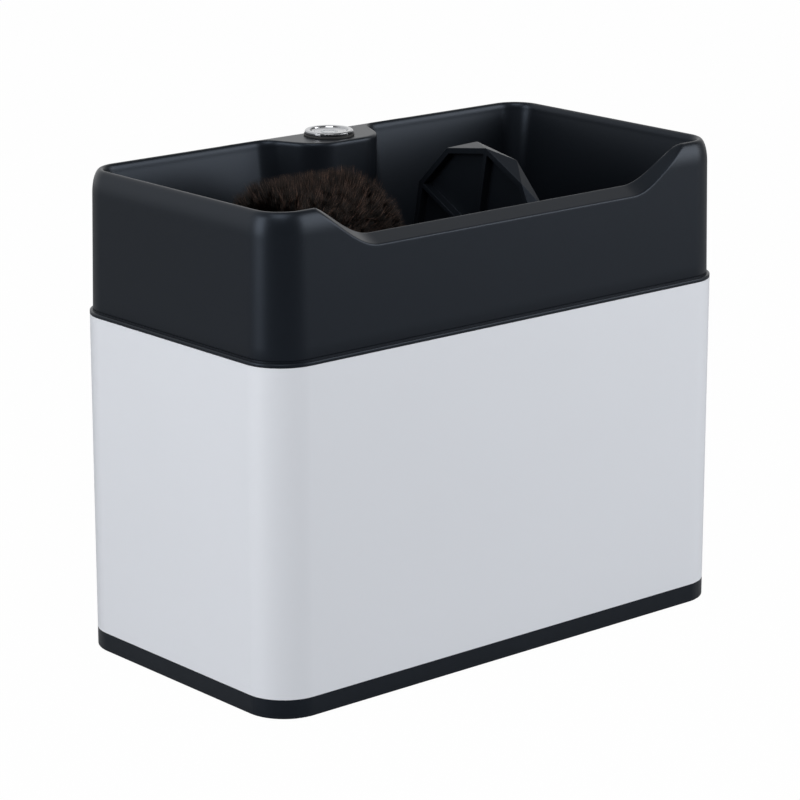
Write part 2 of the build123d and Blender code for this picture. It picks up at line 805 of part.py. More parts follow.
with BuildPart() as shaft_washers:
    for start in (clamp_left - washer, hub_right):
        revolve(
            band(shaft_side, start, start + washer, thread_radius + fit, nut_across / 2 + 2),
            axis=shaft_axis,
        )
write(shaft_washers, "shaft_washers")

with BuildPart() as shaft_nuts:
    for start in (nut_left, nut_right - nut_height):
        nut_plane = Plane(origin=(start, 0, shaft_height), x_dir=(0, 1, 0), z_dir=(1, 0, 0))
        with BuildSketch(nut_plane):
            RegularPolygon(nut_across / 2, 6, major_radius=False)
            Circle(thread_radius + fit, mode=Mode.SUBTRACT)
        extrude(amount=nut_height)
write(shaft_nuts, "shaft_nuts")

# ---- motor -----------------------------------------------------------------------
motor_right = motor_left + motor_length
can_wall = 2.0
stator_radius = motor_radius - can_wall
winding_reach = 12.0
stack_left = motor_left + shield_thickness + winding_reach + 4
stack_right = motor_right - shield_thickness - winding_reach - 4
motor_shaft_radius = motor_shaft_diameter / 2
motor_bush_radius = motor_shaft_radius + 4
with BuildPart() as motor_can:
    revolve(
        band(motor_side, motor_left + shield_thickness, motor_right - shield_thickness,
             stator_radius, motor_radius),
        axis=motor_axis,
    )
write(motor_can, "motor_can")


def shield_section(start, end, rim_start, rim_end):
    """Section of an end shield: a plate with a bush seat and a spigot into the can."""
    return section(
        motor_side,
        (start, motor_bush_radius), (end, motor_bush_radius), (end, stator_radius - 6),
        (rim_end, stator_radius - 6), (rim_end, stator_radius - fit), (end, stator_radius - fit),
        (end, motor_radius), (start, motor_radius),
    )


shield_spigot = 4.0
with BuildPart() as motor_front_shield:
    shield_end = motor_left + shield_thickness
    revolve(
        shield_section(motor_left, shield_end, shield_end, shield_end + shield_spigot),
        axis=motor_axis,
    )
write(motor_front_shield, "motor_front_shield")

with BuildPart() as motor_rear_shield:
    shield_end = motor_right - shield_thickness
    revolve(
        shield_section(motor_right, shield_end, shield_end, shield_end - shield_spigot),
        axis=motor_axis,
    )
write(motor_rear_shield, "motor_rear_shield")

with BuildPart() as motor_bushes:
    for start in (motor_left, motor_right - shield_thickness):
        revolve(
            band(motor_side, start, start + shield_thickness, motor_shaft_radius + fit,
                 motor_bush_radius - fit),
            axis=motor_axis,
        )
write(motor_bushes, "motor_bushes")

with BuildPart() as motor_stator:
    revolve(
        band(motor_side, stack_left, stack_right, rotor_radius + air_gap, stator_radius - fit),
        axis=motor_axis,
    )
write(motor_stator, "motor_stator")

with BuildPart() as motor_windings:
    for start in (stack_left - winding_reach, stack_right):
        with BuildSketch(motor_side):
            with Locations((start + winding_reach / 2, (rotor_radius + stator_radius) / 2)):
                RectangleRounded(winding_reach, stator_radius - rotor_radius - 6, 4)
        revolve(axis=motor_axis)
write(motor_windings, "motor_windings")

with BuildPart() as rotor_core:
    revolve(
        band(motor_side, stack_left - 2, stack_right + 2, motor_shaft_radius + fit, rotor_radius),
        axis=motor_axis,
    )
write(rotor_core, "rotor_core")

fan_start = motor_right + 5
fan_width = 14.0
blade_length = fan_radius - 8
shaft_left = -belt_width / 2 - pulley_flange - 2
shaft_right = fan_start + fan_width + 2
with BuildPart() as rotor_shaft:
    revolve(band(motor_side, shaft_left, shaft_right, 0, motor_shaft_radius), axis=motor_axis)
    chamfer(rotor_shaft.faces().filter_by(Axis.X).edges(), 0.8)
write(rotor_shaft, "rotor_shaft")

with BuildPart() as motor_pulley:
    revolve(
        pulley_section(motor_side, motor_shaft_radius + fit, motor_pulley_radius),
        axis=motor_axis,
    )
write(motor_pulley, "motor_pulley")

fan_blades = 8
fan_plate = 2.0
fan_plane = Plane(origin=(fan_start, 0, motor_height), x_dir=(0, 1, 0), z_dir=(1, 0, 0))
with BuildPart() as motor_fan:
    with BuildSketch(fan_plane):
        Circle(fan_radius)
        Circle(motor_shaft_radius + fit, mode=Mode.SUBTRACT)
    extrude(amount=fan_plate)
    with BuildSketch(fan_plane):
        Circle(motor_shaft_radius + 4)
        with PolarLocations(fan_radius - 2 - blade_length / 2, fan_blades):
            Rectangle(blade_length, 1.6)
        Circle(motor_shaft_radius + fit, mode=Mode.SUBTRACT)
    extrude(amount=fan_width)
write(motor_fan, "motor_fan")

# ---- motor cradle, straps and dampers --------------------------------------------
cradle_low = tray_deck + damper_height
cradle_plate = 3.0
saddle_half = motor_radius * 0.8
saddle_top = motor_height - motor_radius / 2
saddle_starts = [motor_left + 12, motor_right - 12 - saddle_width]
cradle_middle = (motor_left + motor_right) / 2
cradle_size = (motor_length + 20, 2 * saddle_half + 30)
strap_wall = 1.5
strap_ear = 15.0
strap_reach = saddle_half + strap_ear
strap_screw_places = [
    (start + saddle_width / 2, side * (strap_reach - 3.6))
    for start in saddle_starts for side in (-1, 1)
]
damper_places = [
    (cradle_middle + sx * (cradle_size[0] / 2 - 12), sy * (cradle_size[1] / 2 - 12))
    for sx in (-1, 1) for sy in (-1, 1)
]
with BuildPart() as motor_cradle:
    with BuildSketch(Plane.XY.offset(cradle_low)):
        with Locations((cradle_middle, 0)):
            RectangleRounded(*cradle_size, 6)
        with Locations(*damper_places):
            Circle(case_screw / 2 + screw_slack, mode=Mode.SUBTRACT)
    extrude(amount=cradle_plate)
    for start in saddle_starts:
        extrude(
            side_block(start, cradle_low + cradle_plate / 2, saddle_top,
                       strap_reach, strap_reach),
            amount=saddle_width,
        )
    with BuildSketch(Plane.YZ):
        with Locations((0, motor_height)):
            Circle(motor_radius + fit)
    extrude(amount=motor_right + 40, mode=Mode.SUBTRACT)
    extrude(
        discs(saddle_top, case_screw / 2 + screw_slack, strap_screw_places),
        amount=-case_screw_reach, mode=Mode.SUBTRACT,
    )
write(motor_cradle, "motor_cradle")

with BuildPart() as motor_straps:
    for start in saddle_starts:
        with BuildSketch(Plane.YZ.offset(start + 2)):
            with Locations((0, motor_height)):
                Circle(motor_radius + fit + strap_wall)
            with Locations((0, saddle_top)):
                Rectangle(2 * strap_reach, strap_wall, align=(Align.CENTER, Align.MIN))
                Rectangle(4 * strap_reach, 4 * motor_radius, align=(Align.CENTER, Align.MIN),
                          mode=Mode.INTERSECT)
            with Locations((0, motor_height)):
                Circle(motor_radius + fit, mode=Mode.SUBTRACT)
        extrude(amount=saddle_width - 4)
    extrude(
        discs(saddle_top, case_screw / 2 + screw_slack, strap_screw_places),
        amount=strap_wall, mode=Mode.SUBTRACT,
    )
write(motor_straps, "motor_straps")

with BuildPart() as motor_dampers:
    extrude(discs(tray_deck, 9, damper_places), amount=damper_height)
    extrude(
        discs(tray_deck, case_screw / 2 + screw_slack, damper_places),
        amount=damper_height, mode=Mode.SUBTRACT,
    )
write(motor_dampers, "motor_dampers")

with BuildPart() as motor_mount_screws:
    extrude(discs(cradle_low + cradle_plate, case_screw_head / 2, damper_places), amount=2.2)
    extrude(
        discs(cradle_low + cradle_plate, case_screw / 2, damper_places),
        amount=tray_deck - cradle_low - cradle_plate,
    )
    extrude(discs(saddle_top + strap_wall, case_screw_head / 2, strap_screw_places), amount=2.2)
    extrude(
        discs(saddle_top + strap_wall, case_screw / 2, strap_screw_places),
        amount=-case_screw_reach,
    )
write(motor_mount_screws, "motor_mount_screws")

# ---- run capacitor ---------------------------------------------------------------
capacitor_place = (-70.0, 48.0)
capacitor_radius = 17.0
capacitor_height = 62.0
clip_wall = 2.0
with BuildPart() as run_capacitor:
    extrude(discs(tray_deck, capacitor_radius, [capacitor_place]), amount=capacitor_height)
    fillet(run_capacitor.faces().sort_by(Axis.Z)[-1].edges(), 2)
write(run_capacitor, "run_capacitor")

with BuildPart() as capacitor_clip:
    extrude(
        discs(tray_deck, capacitor_radius + clip_wall, [capacitor_place]), amount=18
    )
    extrude(
        discs(tray_deck, capacitor_radius + fit, [capacitor_place]),
        amount=18, mode=Mode.SUBTRACT,
    )
write(capacitor_clip, "capacitor_clip")

# ---- control board ---------------------------------------------------------------
foot_board_gap = 83.7
board_centre = (-125.0, foot_board_gap - depth / 2)
board_size = (90.0, 64.0)
board_screw_margin = 6.0
board_lift = 8.0
board_thickness = 1.6
board_low = tray_deck + board_lift
board_top = board_low + board_thickness
standoff_places = [
    (board_centre[0] + sx * (board_size[0] / 2 - board_screw_margin), board_centre[1] + sy * (board_size[1] / 2 - board_screw_margin))
    for sx in (-1, 1) for sy in (-1, 1)
]
with BuildPart() as board_standoffs:
    extrude(discs(tray_deck, 3.5, standoff_places), amount=board_lift)
write(board_standoffs, "board_standoffs")

with BuildPart() as board_screws:
    extrude(discs(board_top, 3.0, standoff_places), amount=1.8)
write(board_screws, "board_screws")

with BuildPart() as control_board:
    with BuildSketch(Plane.XY.offset(board_low)):
        with Locations(board_centre):
            RectangleRounded(*board_size, 3)
    extrude(amount=board_thickness)
write(control_board, "control_board")


def on_board(across, along, length, breadth):
    """A rectangle on the board's top, placed from the board's centre."""
    with BuildSketch(Plane.XY.offset(board_top)) as footprint:
        with Locations((board_centre[0] + across, board_centre[1] + along)):
            Rectangle(length, breadth)
    return footprint.sketch


with BuildPart() as power_relay:
    extrude(on_board(-22, 4, 28, 13), amount=16)
    fillet(power_relay.faces().sort_by(Axis.Z)[-1].edges(), 0.8)
write(power_relay, "power_relay")

with BuildPart() as board_transformer:
    extrude(on_board(14, 8, 26, 24), amount=20)
    extrude(on_board(14, 8, 30, 14), amount=17)
write(board_transformer, "board_transformer")

with BuildPart() as terminal_block:
    extrude(on_board(-6, -24, 50, 10), amount=11)
    with BuildSketch(Plane.XY.offset(board_top + 11)):
        with Locations((board_centre[0] - 6, board_centre[1] - 24)):
            with GridLocations(8, 0, 6, 1):
                Circle(2)
    extrude(amount=-5, mode=Mode.SUBTRACT)
write(terminal_block, "terminal_block")

# ---- power inlet, set behind a cut-out in the sleeve's back ----------------------
inlet_flange_thickness = 2.0
inlet_depth = 26.0
inlet_shell_wall = 2.0
pin_length = 12.0
flange_face = -sheet - fit
with BuildPart() as power_inlet:
    with BuildSketch(back_plane.offset(flange_face)):
        RectangleRounded(*inlet_flange, 4)
    extrude(amount=-inlet_flange_thickness)
    with BuildSketch(back_plane):
        RectangleRounded(*inlet_size, 3)
    extrude(amount=-inlet_depth)
    with BuildSketch(back_plane):
        RectangleRounded(inlet_size[0] - 2 * inlet_shell_wall,
                         inlet_size[1] - 2 * inlet_shell_wall, 2)
    extrude(amount=inlet_shell_wall - inlet_depth, mode=Mode.SUBTRACT)
    with BuildSketch(back_plane.offset(flange_face)):
        with GridLocations(2 * inlet_screw_step, 0, 2, 1):
            Circle(case_screw / 2 + screw_slack)
    extrude(amount=-inlet_flange_thickness, mode=Mode.SUBTRACT)
write(power_inlet, "power_inlet")

pin_floor = inlet_shell_wall - inlet_depth
with BuildPart() as inlet_pins:
    with BuildSketch(back_plane.offset(pin_floor)):
        with Locations((0, 3), (-7, -3), (7, -3)):
            Rectangle(2, 4)
    extrude(amount=pin_length)
write(inlet_pins, "inlet_pins")

with BuildPart() as inlet_screws:
    with BuildSketch(back_plane):
        with GridLocations(2 * inlet_screw_step, 0, 2, 1):
            Circle(case_screw / 2)
    extrude(amount=-8)
write(inlet_screws, "inlet_screws")

# ---- push button -----------------------------------------------------------------
gasket_top = rim_height + gasket_height
bezel_top = gasket_top + bezel_lip
dish_floor = bezel_top - 8.0
barrel_radius = barrel_diameter / 2
barrel_bore = 8.0
barrel_low = gasket_top - barrel_length
stem_radius = 3.5
shelf = barrel_low + 6.0
with BuildPart() as button_gasket:
    extrude(discs(rim_height, gasket_diameter / 2, [(0, button_y)]), amount=gasket_height)
    extrude(
        discs(rim_height, barrel_radius + fit, [(0, button_y)]),
        amount=gasket_height, mode=Mode.SUBTRACT,
    )
write(button_gasket, "button_gasket")

with BuildPart() as button_bezel:
    revolve(
        section(
            button_side,
            (dish_diameter / 2, bezel_top), (bezel_diameter / 2 - 1.2, bezel_top),
            (bezel_diameter / 2, bezel_top - 1.0), (bezel_diameter / 2, gasket_top),
            (barrel_radius, gasket_top), (barrel_radius, barrel_low),
            (stem_radius + slip, barrel_low), (stem_radius + slip, shelf),
            (barrel_bore, shelf), (barrel_bore, dish_floor), (dish_diameter / 2, dish_floor),
        ),
        axis=button_axis,
    )
write(button_bezel, "button_bezel")

cap_thickness = 3.0
cap_top = bezel_top - 0.8
cap_low = cap_top - cap_thickness
light_ring = (4.2, 5.5)
ring_depth = 1.0
cap_edge = dish_diameter / 2 - button_gap
stem_end = barrel_low - 2.0
with BuildPart() as button_cap:
    revolve(
        section(
            button_side,
            (0, cap_top - 0.6), (light_ring[0], cap_top - 0.6),
            (light_ring[0], cap_top - 0.6 - ring_depth),
            (light_ring[1], cap_top - 0.6 - ring_depth), (light_ring[1], cap_top - 0.6),
            (cap_edge - 1.5, cap_top), (cap_edge, cap_top - 0.4), (cap_edge, cap_low),
            (stem_radius, cap_low), (stem_radius, stem_end), (0, stem_end),
        ),
        axis=button_axis,
    )
write(button_cap, "button_cap")

with BuildPart() as button_light_ring:
    revolve(
        band(button_side, light_ring[0], light_ring[1], cap_top - 0.6 - ring_depth, cap_top - 0.5),
        axis=button_axis,
    )
write(button_light_ring, "button_light_ring")

spring_wire = 0.8
spring_radius = 5.6
spring_low = shelf + spring_wire / 2 + 0.1
spring_length = cap_low - spring_wire / 2 - 0.3 - spring_low
with BuildPart() as button_spring:
    with BuildLine() as coil:
        Helix(spring_length / 6, spring_length, spring_radius,
              center=(0, button_y, spring_low))
    with BuildSketch(Plane(origin=coil.line @ 0, z_dir=coil.line % 0)):
        Circle(spring_wire / 2)
    sweep(is_frenet=True)
write(button_spring, "button_spring")

button_nut_height = 5.0
panel_under = rim_height - collar_wall
with BuildPart() as button_nut:
    with BuildSketch(Plane.XY.offset(panel_under)):
        with Locations((0, button_y)):
            RegularPolygon(15.0, 6, major_radius=False)
            Circle(barrel_radius + fit, mode=Mode.SUBTRACT)
    extrude(amount=-button_nut_height)
write(button_nut, "button_nut")

switch_height = 22.0
with BuildPart() as switch_block:
    with BuildSketch(Plane.XY.offset(barrel_low)):
        with Locations((0, button_y)):
            RectangleRounded(20, 20, 2)
    extrude(amount=-switch_height)
    extrude(
        discs(barrel_low, stem_radius + slip, [(0, button_y)]),
        amount=stem_end - barrel_low - button_travel - slip, mode=Mode.SUBTRACT,
    )
write(switch_block, "switch_block")
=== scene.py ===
"""A household shoe brushing machine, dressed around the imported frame.

White powder-coated sleeve on a black plinth, a moulded black collar with a scooped lip and a
button lobe, a horsehair brush and a many-sided wheel in the well. Metres, Z up, front at -Y.
"""
import json
import math

import bmesh
import bpy
import numpy as np
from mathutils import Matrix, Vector

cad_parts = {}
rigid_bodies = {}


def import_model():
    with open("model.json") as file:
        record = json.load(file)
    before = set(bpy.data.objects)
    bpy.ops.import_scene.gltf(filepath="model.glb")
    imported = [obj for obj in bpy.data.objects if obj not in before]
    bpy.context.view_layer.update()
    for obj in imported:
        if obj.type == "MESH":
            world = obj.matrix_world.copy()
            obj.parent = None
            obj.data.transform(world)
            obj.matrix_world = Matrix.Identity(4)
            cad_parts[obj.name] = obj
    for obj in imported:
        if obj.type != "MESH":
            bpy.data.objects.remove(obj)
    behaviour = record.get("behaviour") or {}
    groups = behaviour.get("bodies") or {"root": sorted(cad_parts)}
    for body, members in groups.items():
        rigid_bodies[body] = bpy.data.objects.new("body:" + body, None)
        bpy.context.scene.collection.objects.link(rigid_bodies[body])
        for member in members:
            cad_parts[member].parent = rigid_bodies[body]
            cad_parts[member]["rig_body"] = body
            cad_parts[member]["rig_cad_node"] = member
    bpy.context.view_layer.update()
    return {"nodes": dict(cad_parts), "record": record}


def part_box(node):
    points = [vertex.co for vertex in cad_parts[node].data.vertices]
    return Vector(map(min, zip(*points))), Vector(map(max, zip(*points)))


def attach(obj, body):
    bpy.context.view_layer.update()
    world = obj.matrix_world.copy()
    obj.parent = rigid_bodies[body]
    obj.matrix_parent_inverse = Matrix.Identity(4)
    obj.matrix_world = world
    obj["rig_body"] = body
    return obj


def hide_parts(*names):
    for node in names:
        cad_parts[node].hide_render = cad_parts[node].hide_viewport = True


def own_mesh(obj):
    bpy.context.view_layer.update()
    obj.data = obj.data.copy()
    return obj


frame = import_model()

MM = 0.001

# ---- sizes read from the frame ---------------------------------------------------
sleeve_low, sleeve_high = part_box("body_sleeve")
collar_low, collar_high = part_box("collar")
bristle_low, bristle_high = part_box("brush_bristles")
core_low, core_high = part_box("brush_core")
bezel_low, bezel_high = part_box("button_bezel")
cap_low, cap_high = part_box("button_cap")
gasket_low, gasket_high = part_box("button_gasket")
HALF_WIDTH = sleeve_high.x
HALF_DEPTH = sleeve_high.y
SEAM = sleeve_high.z
RIM = collar_high.z
CORNER = 27.7 * MM

# ---- the collar's section, as insets from the casing and heights -----------------
# The bead on the seam and the groove above it.
BEAD = 2.5 * MM
GROOVE = 1.0 * MM
GROOVE_INSET = 1.8 * MM
GROOVE_TOP = SEAM + BEAD + GROOVE
# The skirt, and the shoulder that bows in to the ridge.
SKIRT_INSET = 2.0 * MM
SHOULDER_INSET = 3.4 * MM
SHOULDER_DROP = 16.0 * MM
SHOULDER = RIM - SHOULDER_DROP
RIDGE_INSET = 9.0 * MM
# The lip's inner edge, how far it rolls down, and what is left of both round the lobe.
LIP_INSET = 11.5 * MM
LIP_DROP = 5.0 * MM
LOBE_BRIM_SHARE = 0.35
LOBE_DROP_SHARE = 0.25
# The funnel wall, which ends upright in the well.
FUNNEL_BEND = 2.5
WELL_INSET = 17.5 * MM
# The scoop in the front: depth, half widths of its flat and its mouth, and rise inwards.
SCOOP_DEPTH = 29.2 * MM
SCOOP_FLAT = 106.0 * MM
SCOOP_MOUTH = 167.0 * MM
SCOOP_SLOPE = 0.52
# The button lobe: front, half widths, roundings, and half the run of wall it takes up.
LOBE_FRONT = HALF_DEPTH - 46.2 * MM
LOBE_FRONT_HALF = 26.5 * MM
LOBE_BASE_HALF = 42.2 * MM
LOBE_CORNER = 24.0 * MM
LOBE_FAIRING = 15.0 * MM
LOBE_REACH = 78.0 * MM

# ---- how finely the collar is drawn ----------------------------------------------
PLAIN_STATIONS = 225
LOBE_STATIONS = 131
SOFT_STEPS = 104
# The section is respaced and softened above the first height outside, the second inside.
SOFT_BAND = (268.0 * MM, 262.0 * MM)
CREASE = math.radians(50)

# ---- rounded copies of nodes -----------------------------------------------------
ROUNDED_EDGES = {
    "body_sleeve": 0.7 * MM, "plinth_tray": 0.4 * MM, "wheel_shell": 0.7 * MM,
    "brush_well": 0.6 * MM, "bearing_cap": 0.6 * MM, "bearing_pedestal": 0.6 * MM,
}
FOLD = math.radians(28)


# ---- general mesh makers ---------------------------------------------------------
def surface(name, points):
    """A closed mesh from a grid of points: quads join neighbours, and the last row and the
    last column join the first."""
    rows, columns = points.shape[:2]
    index = np.arange(rows * columns).reshape(rows, columns)
    index = np.concatenate([index, index[:1]], axis=0)
    index = np.concatenate([index, index[:, :1]], axis=1)
    quads = np.stack(
        [index[:-1, :-1], index[:-1, 1:], index[1:, 1:], index[1:, :-1]], axis=-1
    ).reshape(-1, 4)
    return mesh_object(name, points.reshape(-1, 3), quads)


def placed(name, data):
    """An object at the origin with this data, in the scene."""
    thing = bpy.data.objects.new(name, data)
    bpy.context.scene.collection.objects.link(thing)
    return thing


def set_smooth(mesh, smooth=True):
    """Shades every face smooth or flat."""
    mesh.polygons.foreach_set("use_smooth", np.full(len(mesh.polygons), smooth))


def mesh_object(name, points, faces, smooth=True):
    """An object at the origin whose mesh has these points and these faces."""
    mesh = bpy.data.meshes.new(name)
    mesh.from_pydata(points.tolist(), [], faces.tolist())
    mesh.validate()
    set_smooth(mesh, smooth)
    return placed(name, mesh)


def tidy_normals(piece, merge=None):
    """Merges points closer than a distance, if one is given, and turns every face outwards."""
    shape = bmesh.new()
    shape.from_mesh(piece.data)
    if merge:
        bmesh.ops.remove_doubles(shape, verts=shape.verts, dist=merge)
    bmesh.ops.recalc_face_normals(shape, faces=shape.faces)
    shape.to_mesh(piece.data)
    shape.free()
    return piece


def spread_evenly(points, count):
    """Respaces each run of points (stations, run, 3) to equal steps along its own length.

    The runs' lengths are laid end to end on one long axis, so one interpolation serves all.
    """
    steps = np.linalg.norm(np.diff(points, axis=1), axis=2)
    lengths = np.concatenate([np.zeros((len(points), 1)), np.cumsum(steps, axis=1)], axis=1)
    gap = lengths.max() + 1.0
    offsets = np.arange(len(points))[:, None] * gap
    wanted = lengths[:, -1:] * np.linspace(0, 1, count)[None, :] + offsets
    known = lengths + offsets
    spread = [
        np.interp(wanted.ravel(), known.ravel(), points[..., axis].ravel()) for axis in range(3)
    ]
    return np.stack(spread, axis=-1).reshape(len(points), count, 3)


def soften(points):
    """Rounds the corners of each run: every inner point moves halfway to its neighbours'
    mean."""
    points = points.copy()
    points[:, 1:-1] = (points[:, :-2] + 2 * points[:, 1:-1] + points[:, 2:]) / 4
    return points


def softened_copy(name, node, width):
    """A CAD node's shape with its edges rounded: merged, made of flat faces, then bevelled
    wherever the surface folds by more than FOLD."""
    source = frame["nodes"][node]
    mesh = source.data.copy()
    mesh.name = name
    piece = placed(name, mesh)
    shape = bmesh.new()
    shape.from_mesh(mesh)
    bmesh.ops.remove_doubles(shape, verts=shape.verts, dist=0.01 * MM)
    bmesh.ops.dissolve_limit(
        shape, angle_limit=math.radians(0.5), verts=shape.verts, edges=shape.edges
    )
    shape.to_mesh(mesh)
    shape.free()
    set_smooth(mesh)
    mesh.set_sharp_from_angle(angle=FOLD)
    bevel = piece.modifiers.new("edge_round", "BEVEL")
    bevel.width = width
    bevel.segments = 3
    bevel.limit_method = "ANGLE"
    bevel.angle_limit = FOLD
    bevel.use_clamp_overlap = True
    piece.modifiers.new("flat_faces", "WEIGHTED_NORMAL").keep_sharp = False
    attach(piece, source["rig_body"])
    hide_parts(node)
    return piece


def turned(name, profile, centre, steps=96):
    """A body of revolution about an upright axis: the closed profile (radius, height) is
    carried round the centre."""
    angle = np.linspace(0, 2 * math.pi, steps, endpoint=False)[:, None]
    radius, height = profile[:, 0][None, :], profile[:, 1][None, :]
    points = np.stack(
        [
            centre[0] + radius * np.cos(angle),
            centre[1] + radius * np.sin(angle),
            np.broadcast_to(height, (steps, len(profile))),
        ],
        axis=-1,
    )
    return tidy_normals(surface(name, points), merge=0.001 * MM)


def rounded_profile(corners, radii, steps=6):
    """A closed outline with each corner replaced by an arc tangent to both its sides."""
    corners = np.asarray(corners, float)
    parts = []
    for i, (corner, radius) in enumerate(zip(corners, radii)):
        before, after = corners[i - 1], corners[(i + 1) % len(corners)]
        if radius <= 0:
            parts.append(corner[None, :])
            continue
        to_before = (before - corner) / np.linalg.norm(before - corner)
        to_after = (after - corner) / np.linalg.norm(after - corner)
        half = math.acos(np.clip(to_before @ to_after, -1, 1)) / 2
        reach = radius / math.tan(half)
        middle = (to_before + to_after) / np.linalg.norm(to_before + to_after)
        centre = corner + middle * radius / math.sin(half)
        first, last = corner + to_before * reach, corner + to_after * reach
        t = np.linspace(0, 1, steps)[:, None]
        chord = (first * (1 - t) + last * t) - centre
        parts.append(centre + radius * chord / np.linalg.norm(chord, axis=1)[:, None])
    return np.concatenate(parts)


def eased(t):
    """0 below 0, 1 above 1 and a smooth step between: 3 t squared less 2 t cubed."""
    t = np.clip(t, 0, 1)
    return t * t * (3 - 2 * t)


# ---- the casing's outline --------------------------------------------------------
def casing_walk(distance):
    """Points and inward normals of the casing's rounded rectangle, at distances from the
    front middle towards +X: straight runs and quarter circles in turn."""
    half_x, half_y, r = HALF_WIDTH, HALF_DEPTH, CORNER
    arc = math.pi * r / 2
    long_run, short_run = 2 * (half_x - r), 2 * (half_y - r)
    runs = [long_run / 2, arc, short_run, arc, long_run, arc, short_run, arc, long_run / 2]
    starts = np.concatenate([[0], np.cumsum(runs)])
    origins = np.array([
        (0, -half_y), (half_x - r, r - half_y), (half_x, r - half_y), (half_x - r, half_y - r),
        (half_x - r, half_y), (r - half_x, half_y - r), (-half_x, half_y - r),
        (r - half_x, r - half_y), (r - half_x, -half_y),
    ])
    headings = np.radians([0, 0, 90, 90, 180, 180, 270, 270, 360])
    run = np.clip(np.searchsorted(starts, distance, side="right") - 1, 0, 8)
    along = distance - starts[run]
    turn = np.where(run % 2 == 1, along / r, 0.0)
    heading = headings[run] + turn
    tangent = np.stack([np.cos(heading), np.sin(heading)], axis=-1)
    inward = np.stack([-np.sin(heading), np.cos(heading)], axis=-1)
    straight = origins[run] + tangent * along[:, None]
    curved = origins[run] - inward * r
    return np.where((run % 2 == 1)[:, None], curved, straight), inward


def casing_length():
    """The length round the casing's outline."""
    return 4 * (HALF_WIDTH + HALF_DEPTH - 2 * CORNER) + 2 * math.pi * CORNER


def casing_stations():
    """Distances round the casing: 2.1 mm apart, and closer behind the button lobe."""
    total = casing_length()
    back = total / 2
    plain = np.linspace(0, back - LOBE_REACH, PLAIN_STATIONS, endpoint=False)
    lobe = np.linspace(back - LOBE_REACH, back + LOBE_REACH, LOBE_STATIONS)
    return np.concatenate([plain, lobe, total - plain[:0:-1]])


def lobe_walk(fraction):
    """Points along the inner edge round the button lobe, for fractions 0 (right) to 1
    (left), and normals that point into the well. The edge is wall, fairing arc, slanted
    side, rounded front, and the same back. The third result is 1 on the wall, falling to 0
    on the lobe's front."""
    wall_y = HALF_DEPTH - LIP_INSET
    corners = [
        (LOBE_REACH, wall_y), (LOBE_BASE_HALF, wall_y), (LOBE_FRONT_HALF, LOBE_FRONT),
        (-LOBE_FRONT_HALF, LOBE_FRONT), (-LOBE_BASE_HALF, wall_y), (-LOBE_REACH, wall_y),
    ]
    line = rounded_profile(
        corners, [0, LOBE_FAIRING, LOBE_CORNER, LOBE_CORNER, LOBE_FAIRING, 0], steps=40
    )
    length = np.concatenate([[0], np.cumsum(np.linalg.norm(np.diff(line, axis=0), axis=1))])
    place = fraction * length[-1]
    points = np.stack([np.interp(place, length, line[:, axis]) for axis in range(2)], axis=-1)
    tangent = np.gradient(points, place, axis=0)
    normals = np.stack([-tangent[:, 1], tangent[:, 0]], axis=-1)
    normals /= np.linalg.norm(normals, axis=1)[:, None]
    front = LOBE_FRONT + LOBE_CORNER
    return points, normals, eased((points[:, 1] - front) / (wall_y - front))


# ---- collar ----------------------------------------------------------------------
def inner_wall_inset(height):
    """The funnel wall's inset: it leaves the lip leaning and ends upright at the well, by
    1 - (1 - t) to the power FUNNEL_BEND, with t from 0 at the lip to 1 at the seam."""
    t = np.clip((RIM - LIP_DROP - height) / (RIM - LIP_DROP - SEAM), 0, 1)
    return LIP_INSET + (WELL_INSET - LIP_INSET) * (1 - (1 - t) ** FUNNEL_BEND)


def scoop_height(x):
    """The front lip's outer height: a smooth step from the flat of the scoop to the rim,
    and far above the rim outside its mouth."""
    t = (np.abs(x) - SCOOP_FLAT) / (SCOOP_MOUTH - SCOOP_FLAT)
    return RIM - SCOOP_DEPTH * (1 - eased(t)) + np.where(t >= 1, 1.0, 0.0)


def outer_inset(height):
    """The skirt's inset: a straight line from the groove to the shoulder."""
    return np.interp(height, [GROOVE_TOP, SHOULDER], [SKIRT_INSET, SHOULDER_INSET])


def bore_cutter():
    """The solid that clears the button's hole through the lobe."""
    reach, radius = 5 * MM, gasket_high.x - 3.8 * MM
    outline = [
        (0, SEAM - reach), (radius, SEAM - reach), (radius, RIM + reach), (0, RIM + reach),
    ]
    centre = (0, (gasket_low.y + gasket_high.y) / 2)
    return turned("bore_cutter", np.array(outline), centre, 64)


